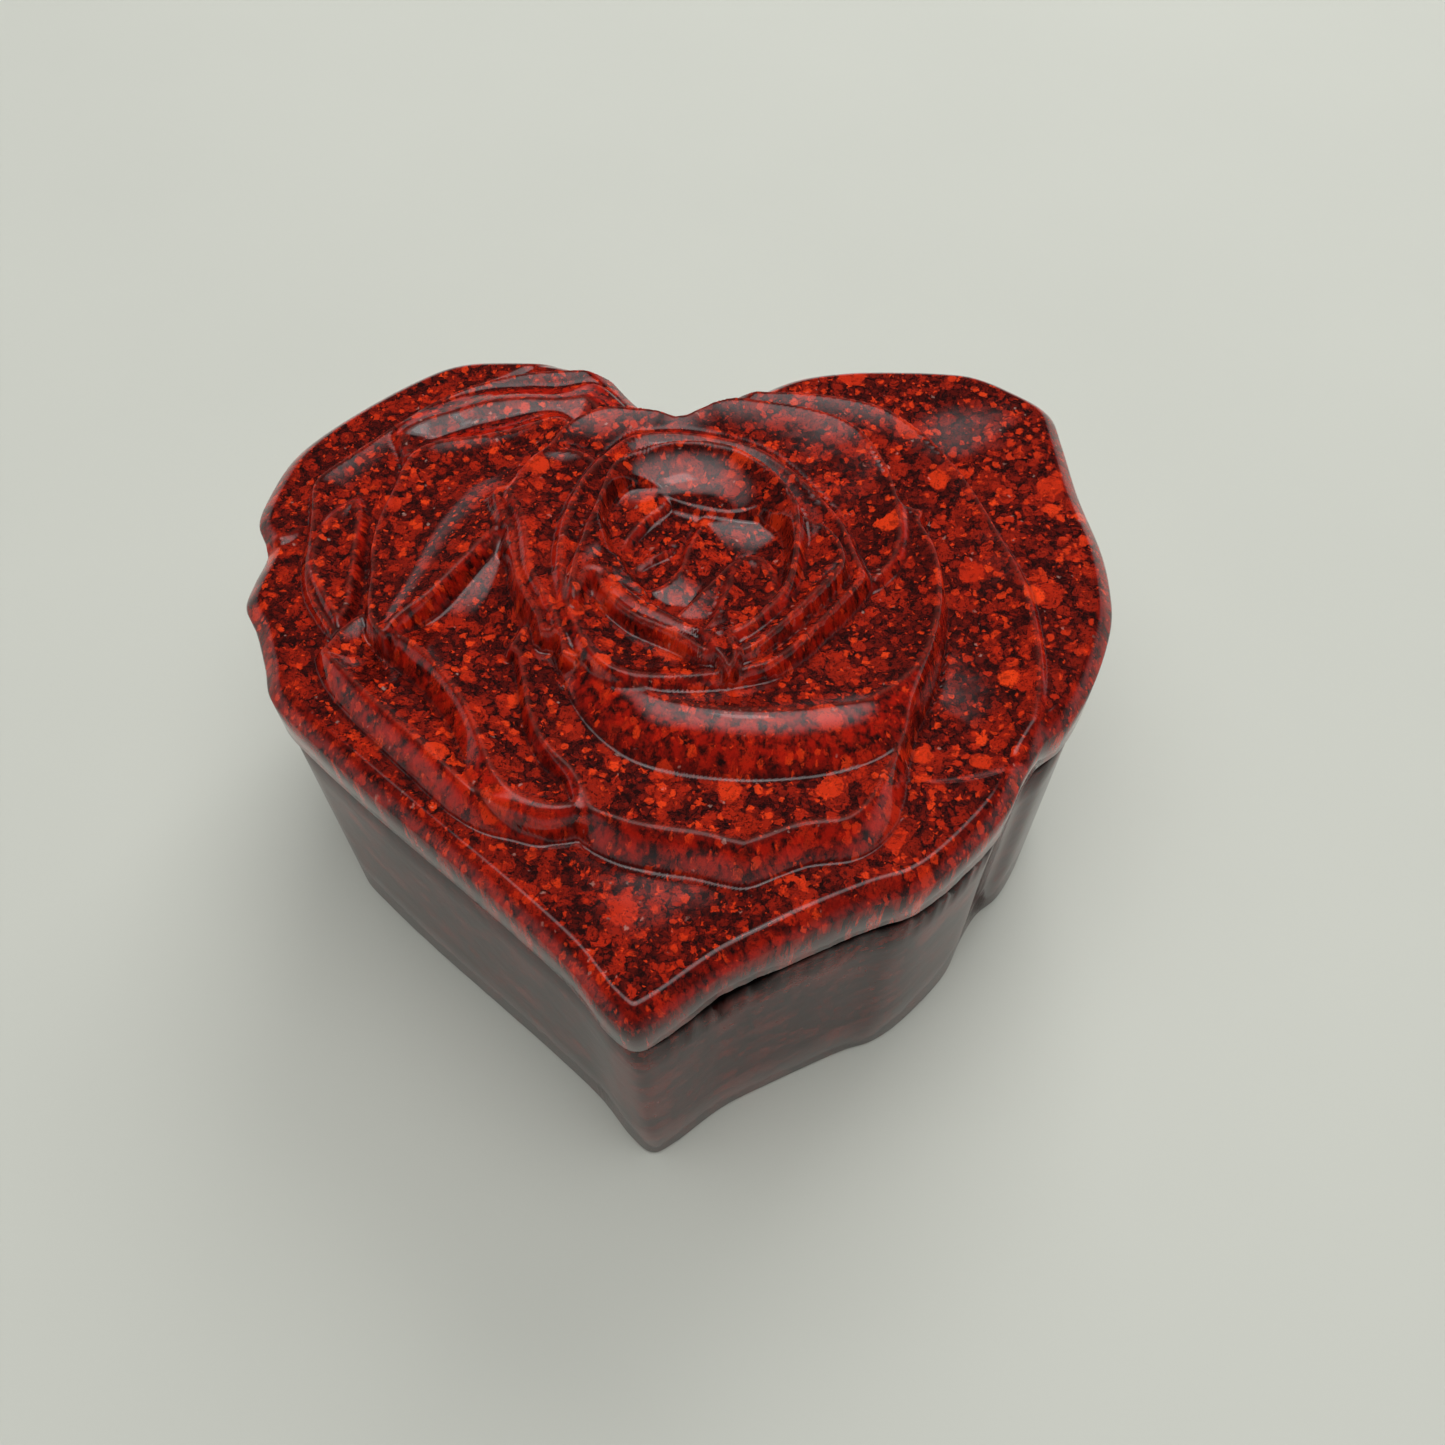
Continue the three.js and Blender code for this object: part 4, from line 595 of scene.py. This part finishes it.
def rose(x, y):
    """Height of the carved lid, and how near each point is to a petal's foot (painted shade), crest (painted
    highlight) or wall.
    """
    depth, _ = probe(EDGE, x, y)
    z = LID_EDGE - RIM_DISH * (1 - np.exp(-np.maximum(0, depth - RIM_ROUND) / RIM_FADE))
    for sx, sy, radius, height in SWELLS:
        z = z + height * np.exp(-((x - sx) ** 2 + (y - sy) ** 2) / radius ** 2)
    marks = {name: np.zeros(x.shape) for name in ("crease_shade", "crest_highlight", "wall")}
    z = lay_petals(PETALS, x, y, z, marks)
    inner, _ = probe(closed_line(CUP, 6), x, y)
    z = z + (CUP_FLOOR - z) * (1 - (1 - np.clip(inner / CUP_WALL, 0, 1)) ** CUP_BULGE)
    z = lay_petals(BUD, x, y, z, marks)
    rim = np.clip(1 - np.maximum(depth, 0) / RIM_ROUND, 0, 1)
    marks["wall"] = np.maximum(marks["wall"], 0.7 * np.sqrt(rim))
    return z - RIM_DROP * rim ** RIM_BULGE, marks


def reach(angle, inset):
    """How far from the centre, at each angle, a point is still inset inside the outline."""
    low, high = np.zeros(angle.shape), np.full(angle.shape, 90.0)
    for _ in range(16):
        middle = (low + high) / 2
        depth, _ = probe(EDGE, CENTRE[0] + np.cos(angle) * middle, CENTRE[1] + np.sin(angle) * middle)
        low = np.where(depth > inset, middle, low)
        high = np.where(depth > inset, high, middle)
    return low


def heart_loop(angle, inset, z):
    """Points round the heart at the given angles, inset from its outline, at height z."""
    r = reach(angle, inset)
    return np.stack([CENTRE[0] + np.cos(angle) * r, CENTRE[1] + np.sin(angle) * r + HEART_Y,
                     np.broadcast_to(z, angle.shape)], 1)


def make_mesh(name, points, faces, material, attributes=None):
    """A smooth-shaded piece from points in millimetres."""
    mesh = bpy.data.meshes.new(name)
    mesh.from_pydata((np.asarray(points) * MM).tolist(), [], faces)
    mesh.validate()
    for key, values in (attributes or {}).items():
        layer = mesh.attributes.new(key, "FLOAT", "POINT")
        layer.data.foreach_set("value", np.asarray(values, np.float32))
    mesh.polygons.foreach_set("use_smooth", [True] * len(mesh.polygons))
    mesh.materials.append(material)
    piece = bpy.data.objects.new(name, mesh)
    bpy.context.scene.collection.objects.link(piece)
    return piece


def ring_faces(first, second, count):
    """Quads between two loops of points that start at these indices."""
    quads = []
    for i in range(count):
        j = (i + 1) % count
        quads.append((first + i, first + j, second + j, second + i))
    return quads


def carved_lid(material):
    """The lid in one closed body: a carved top from a square grid bent to the heart, walls and recess."""
    side = np.linspace(-1, 1, LID_CELLS + 1)
    u, v = np.meshgrid(side, side, indexing="ij")
    wide = np.abs(u) >= np.abs(v)
    r = np.where(wide, u, v)
    safe = np.where(r == 0, 1, r)
    phi = np.where(wide, math.pi / 4 * v / safe, math.pi / 2 - math.pi / 4 * u / safe)
    angle = np.arctan2(r * np.sin(phi), r * np.cos(phi)).ravel()
    share = np.abs(r).ravel()
    share = 1 - (1 - share) ** 1.12

    table = np.linspace(-math.pi, math.pi, 2881)
    limit = np.interp(angle, table, reach(table, 0.0))
    x = CENTRE[0] + np.cos(angle) * share * limit
    y = CENTRE[1] + np.sin(angle) * share * limit
    z, marks = rose(x, y)
    points = np.stack([x, y + HEART_Y, z], 1)

    n = LID_CELLS + 1
    index = np.arange(n * n).reshape(n, n)
    quads = np.stack([index[:-1, :-1], index[1:, :-1], index[1:, 1:], index[:-1, 1:]], -1).reshape(-1, 4)
    rim = np.concatenate([index[:-1, 0], index[-1, :-1], index[:0:-1, -1], index[0, :0:-1]])
    turn = angle[rim]
    gap = seam_gap(turn)
    rim_z = z[rim]
    count = len(rim)
    inner_wall = WALL - 0.2
    rings = [
        heart_loop(turn, 0.0, (rim_z + LID_SEAM + 0.8) / 2),
        heart_loop(turn, 0.0, LID_SEAM + 0.8 + 0.8 * gap),
        heart_loop(turn, 0.12 + 0.4 * gap, LID_SEAM + 0.3 + 0.7 * gap),
        heart_loop(turn, 0.6 + 0.9 * gap, LID_SEAM + 0.3 * gap),
        heart_loop(turn, 3.2, LID_SEAM),
        heart_loop(turn, inner_wall, LID_SEAM),
        heart_loop(turn, inner_wall, LID_CEILING),
    ]
    faces = [tuple(q) for q in quads.tolist()]
    base = n * n
    previous = rim.tolist()
    for ring in rings:
        current = list(range(base, base + count))
        for i in range(count):
            j = (i + 1) % count
            faces.append((previous[j], previous[i], current[i], current[j]))
        previous = current
        base += count
    all_points = np.concatenate([points] + rings + [[(CENTRE[0], CENTRE[1] + HEART_Y, LID_CEILING)]])
    for i in range(count):
        faces.append((previous[(i + 1) % count], previous[i], base))
    # painted shade in the seam's chips, ring by ring
    seam_shade_rings = [chip_shade(turn) * share for share in (0, 0, 1, 1, 0.3, 0, 0)]
    spare = np.zeros(len(all_points) - n * n)
    held = {name: np.concatenate([mark, spare]) for name, mark in marks.items()}
    held["chip"] = np.concatenate([np.zeros(n * n), *seam_shade_rings, [0]])
    return make_mesh("rose_lid", all_points, faces, material, held)


# Where the seam is chipped: (middle and spread in degrees round the heart, size).
CHIPS = [(-81, 7, 1.4), (-62, 12, 0.4), (-41, 11, 0.9), (-22, 10, 0.7), (-150, 25, 0.1)]


def seam_gap(angle):
    """How far the uneven seam between lid and base is chipped away, at each angle in radians."""
    degrees = np.degrees(angle)
    gap = 0.0 * degrees
    for middle, spread, size in CHIPS:
        gap = gap + size * np.exp(-((degrees - middle) / spread) ** 2)
    return gap * (1 + 0.25 * np.sin(degrees * 0.9) + 0.15 * np.sin(degrees * 2.3 + 1))


def chip_shade(angle):
    """1 where the seam is chipped enough to be painted near-black, as shade in the chip's recess."""
    return np.clip(4 * seam_gap(angle), 0, 1)


def heart_shell(name, loops, material, joined=True, dark=None):
    """A body from heart loops, each (inset, z), either of them a number or a function of the angle.

    Joined, the last loop meets the first; otherwise both ends are capped. dark gives, for a loop's number,
    how much painted shade the chips in the seam put on it."""
    turn = np.linspace(-math.pi, math.pi, TURNS, endpoint=False)
    rings = []
    for inset, z in loops:
        inset = inset(turn) if callable(inset) else inset
        z = z(turn) if callable(z) else z
        rings.append(heart_loop(turn, inset, z))
    faces = []
    for k in range(len(rings) - (0 if joined else 1)):
        faces += ring_faces(k * TURNS, (k + 1) % len(rings) * TURNS, TURNS)
    points = np.concatenate(rings)
    if not joined:
        for k, flip in ((0, True), (len(rings) - 1, False)):
            middle = len(points)
            points = np.concatenate([points, rings[k].mean(0)[None]])
            for i in range(TURNS):
                a, b = k * TURNS + i, k * TURNS + (i + 1) % TURNS
                faces.append((b, a, middle) if flip else (a, b, middle))
    chip = np.zeros(len(points))
    for k, share in (dark or {}).items():
        # painted shade: near-black in the seam's chips
        chip[k * TURNS:(k + 1) * TURNS] = chip_shade(turn) * share
    return make_mesh(name, points, faces, material, {"chip": chip})


def base_wall(material):
    """The base's wall with rounded edges, its top edge chipped along the seam."""
    def top(drop, chip):
        return lambda turn: BASE_TOP - drop - chip * seam_gap(turn)

    def side(inset, chip):
        return lambda turn: BASE_INSET + inset + chip * seam_gap(turn)

    inner = BASE_INSET + WALL
    return heart_shell("lacquer_base", [
        (BASE_INSET + 0.7, 0.0), (BASE_INSET + 0.2, 0.2), (BASE_INSET, 0.8), (BASE_INSET, 14),
        (BASE_INSET, 28),
        (BASE_INSET, 42), (BASE_INSET, top(0.9, 3.4)), (side(0.1, 0.7), top(0.6, 2.6)),
        (side(0.25, 1.5), top(0.25, 0.9)), (side(0.8, 1.6), top(0.0, 0.2)), (inner - 0.4, BASE_TOP),
        (inner, BASE_TOP - 0.4), (inner, 15.6), (inner + 3, 15.6), (inner + 3, 13.6), (inner, 13.6),
        (inner, 0.5), (inner - 0.4, 0.0)], material, dark={7: 1.0, 8: 1.0, 9: 0.5})


def window(angle, low, high):
    """How far from the centre a ray leaves the box low..high, at each angle."""
    far = []
    for run, middle, near, off in zip((np.cos(angle), np.sin(angle)), CENTRE, low, high):
        far.append(np.where(run > 0, off - middle, middle - near) / np.maximum(np.abs(run), 1e-9))
    return np.minimum(*far)


def tray_pad(material):
    """The velvet pad on the tray's floor, crowned, with a window round the movement's cover."""
    turn = np.linspace(-math.pi, math.pi, TURNS, endpoint=False)
    low, high = (-29.2, -9.7), (29.1, 33.1)
    inner = window(turn, low, high) + 0.3
    outer = reach(turn, BASE_INSET + WALL + PAD_GAP)

    def at(share, z):
        r = inner + (outer - inner) * share
        return np.stack([CENTRE[0] + np.cos(turn) * r, CENTRE[1] + np.sin(turn) * r + HEART_Y, r * 0 + z], 1)

    rings = [at(1, 15.75), at(1, 16.5), at(0.98, 16.8), at(0.93, 17.02), at(0.8, 17.15), at(0.5, 17.25),
             at(0.2, 17.15), at(0.07, 17.0), at(0.02, 16.8), at(0, 16.5), at(0, 15.75)]
    faces = []
    for k in range(len(rings)):
        faces += ring_faces(k * TURNS, (k + 1) % len(rings) * TURNS, TURNS)
    return make_mesh("tray_pad", np.concatenate(rings), faces, material)


def lid_pad(material):
    """The crowned velvet pad inside the lid."""
    edge = WALL + PAD_GAP
    return heart_shell("lid_pad", [
        (edge, 57.1), (edge, 56.5), (edge + 0.4, 56.1), (edge + 1.2, 55.8), (edge + 2.6, 55.62),
        (edge + 5, 55.54), (edge + 12, 55.5)], material, joined=False)


def cylinder_pins(material):
    """The tune: short steel pins in rows round the cylinder."""
    rng = np.random.default_rng(18)
    axis_y, axis_z, radius = 15.8, 28.967, 6.0
    rows, spacing, pins_in_row, sides = 18, 1.18, 13, 8
    points, faces = [], []
    for row in range(rows):
        middle = np.array([-15.9 + row * spacing, axis_y, axis_z])
        for turn in np.sort(rng.uniform(0, 2 * math.pi, pins_in_row)):
            out = np.array([0, math.cos(turn), math.sin(turn)])
            side = np.array([0, -math.sin(turn), math.cos(turn)])
            first = len(points)
            for height, width in ((radius - 0.2, 0.16), (radius + 0.38, 0.16), (radius + 0.45, 0.09)):
                for k in range(sides):
                    a = k * 2 * math.pi / sides
                    across = side * math.sin(a) + np.array([math.cos(a), 0, 0])
                    points.append(middle + out * height + across * width)
            second, third = first + sides, first + 2 * sides
            faces += ring_faces(first, second, sides) + ring_faces(second, third, sides)
            faces.append(tuple(range(second - 1, first - 1, -1)))
            faces.append(tuple(range(third, third + sides)))
    return make_mesh("cylinder_pins", points, faces, material)


def dress(patterns, material, bevel=0.0):
    """Gives the CAD nodes that match any pattern a material, and softens their edges by bevel millimetres."""
    for name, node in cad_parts.items():
        if not any(fnmatch(name, pattern) for pattern in patterns):
            continue
        node.data.materials.clear()
        node.data.materials.append(material)
        if bevel:
            soften = node.modifiers.new("soften", "BEVEL")
            soften.width = bevel * MM
            soften.segments = 2
            soften.limit_method = "ANGLE"
            soften.angle_limit = math.radians(38)


add_camera()
add_world((0.02, -0.08, 1), 2.95, 0.045, 32, 9, 1.45, 0.5)
add_softbox("key", (0.05, -0.10, 1.6), (0, 0, 0.05), 0.25, 0.25, 3.0)
add_softbox("back", (0.3, 0.9, 1.0), (0, 0, 0.03), 0.8, 0.8, 3.9, False)
bpy.context.scene.view_settings.view_transform = "Standard"

far = 3000
corners = [(-far, -far, -0.05), (far, -far, -0.05), (far, far, -0.05), (-far, far, -0.05)]
floor = make_mesh("floor", corners, [(0, 1, 2, 3)], floor_paint())

lid_lacquer = lacquer("lid_lacquer", 0.15)
# the base: the same lacquer darkened by painted shade, for its walls in shade
base_lacquer = lacquer("base_lacquer", 1.0, 0.8, 0.8)

lid = carved_lid(lid_lacquer)
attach(lid, "lid")
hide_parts("lid_shell")

base = base_wall(base_lacquer)
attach(base, "base")
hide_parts("base_shell")

wine = velvet()
brass = brushed("brass_sheet", (0.80, 0.60, 0.27, 1), (0.58, 0.40, 0.16, 1), (0.4, 6, 6))
brass_turned = brushed("brass_turned", (0.82, 0.63, 0.30, 1), (0.62, 0.44, 0.19, 1), (5, 1, 5), 0.22)
steel = brushed("steel_ground", (0.63, 0.64, 0.65, 1), (0.45, 0.45, 0.46, 1), (6, 0.5, 6))
blued = brushed("steel_bright", (0.72, 0.73, 0.74, 1), (0.55, 0.55, 0.56, 1), (2, 2, 8), 0.2)
zinc = cast_zinc()

pad = tray_pad(wine)
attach(pad, "base")
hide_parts("floor_lining")

ceiling_pad = lid_pad(wine)
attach(ceiling_pad, "lid")
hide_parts("lid_lining")

pins = cylinder_pins(blued)
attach(pins, "cylinder")

dress(["wall_lining"], wine, 0.3)
dress(["bottom_panel"], fibreboard(), 0.3)
dress(["hinge_leaf_*", "hinge_screw_*", "barrel_*", "comb_screw_*", "cylinder_bearing"], brass, 0.12)
dress(["spring_barrel", "pinned_cylinder", "cylinder_wheel", "cylinder_arbor", "worm_wheel", "winding_key",
       "fan", "stop_plunger", "plunger_guide"], brass_turned, 0.06)
dress(["bedplate", "governor_frame"], zinc, 0.2)
dress(["comb", "click_spring", "mainspring"], steel, 0.05)
dress(["hinge_pin_*", "panel_screw_*", "movement_screw_*", "winding_arbor", "governor_arbor", "worm_shaft"],
      blued, 0.06)
dress(["plunger_spring"], blued)
dress(["movement_cover"], clear_plastic(), 0.3)
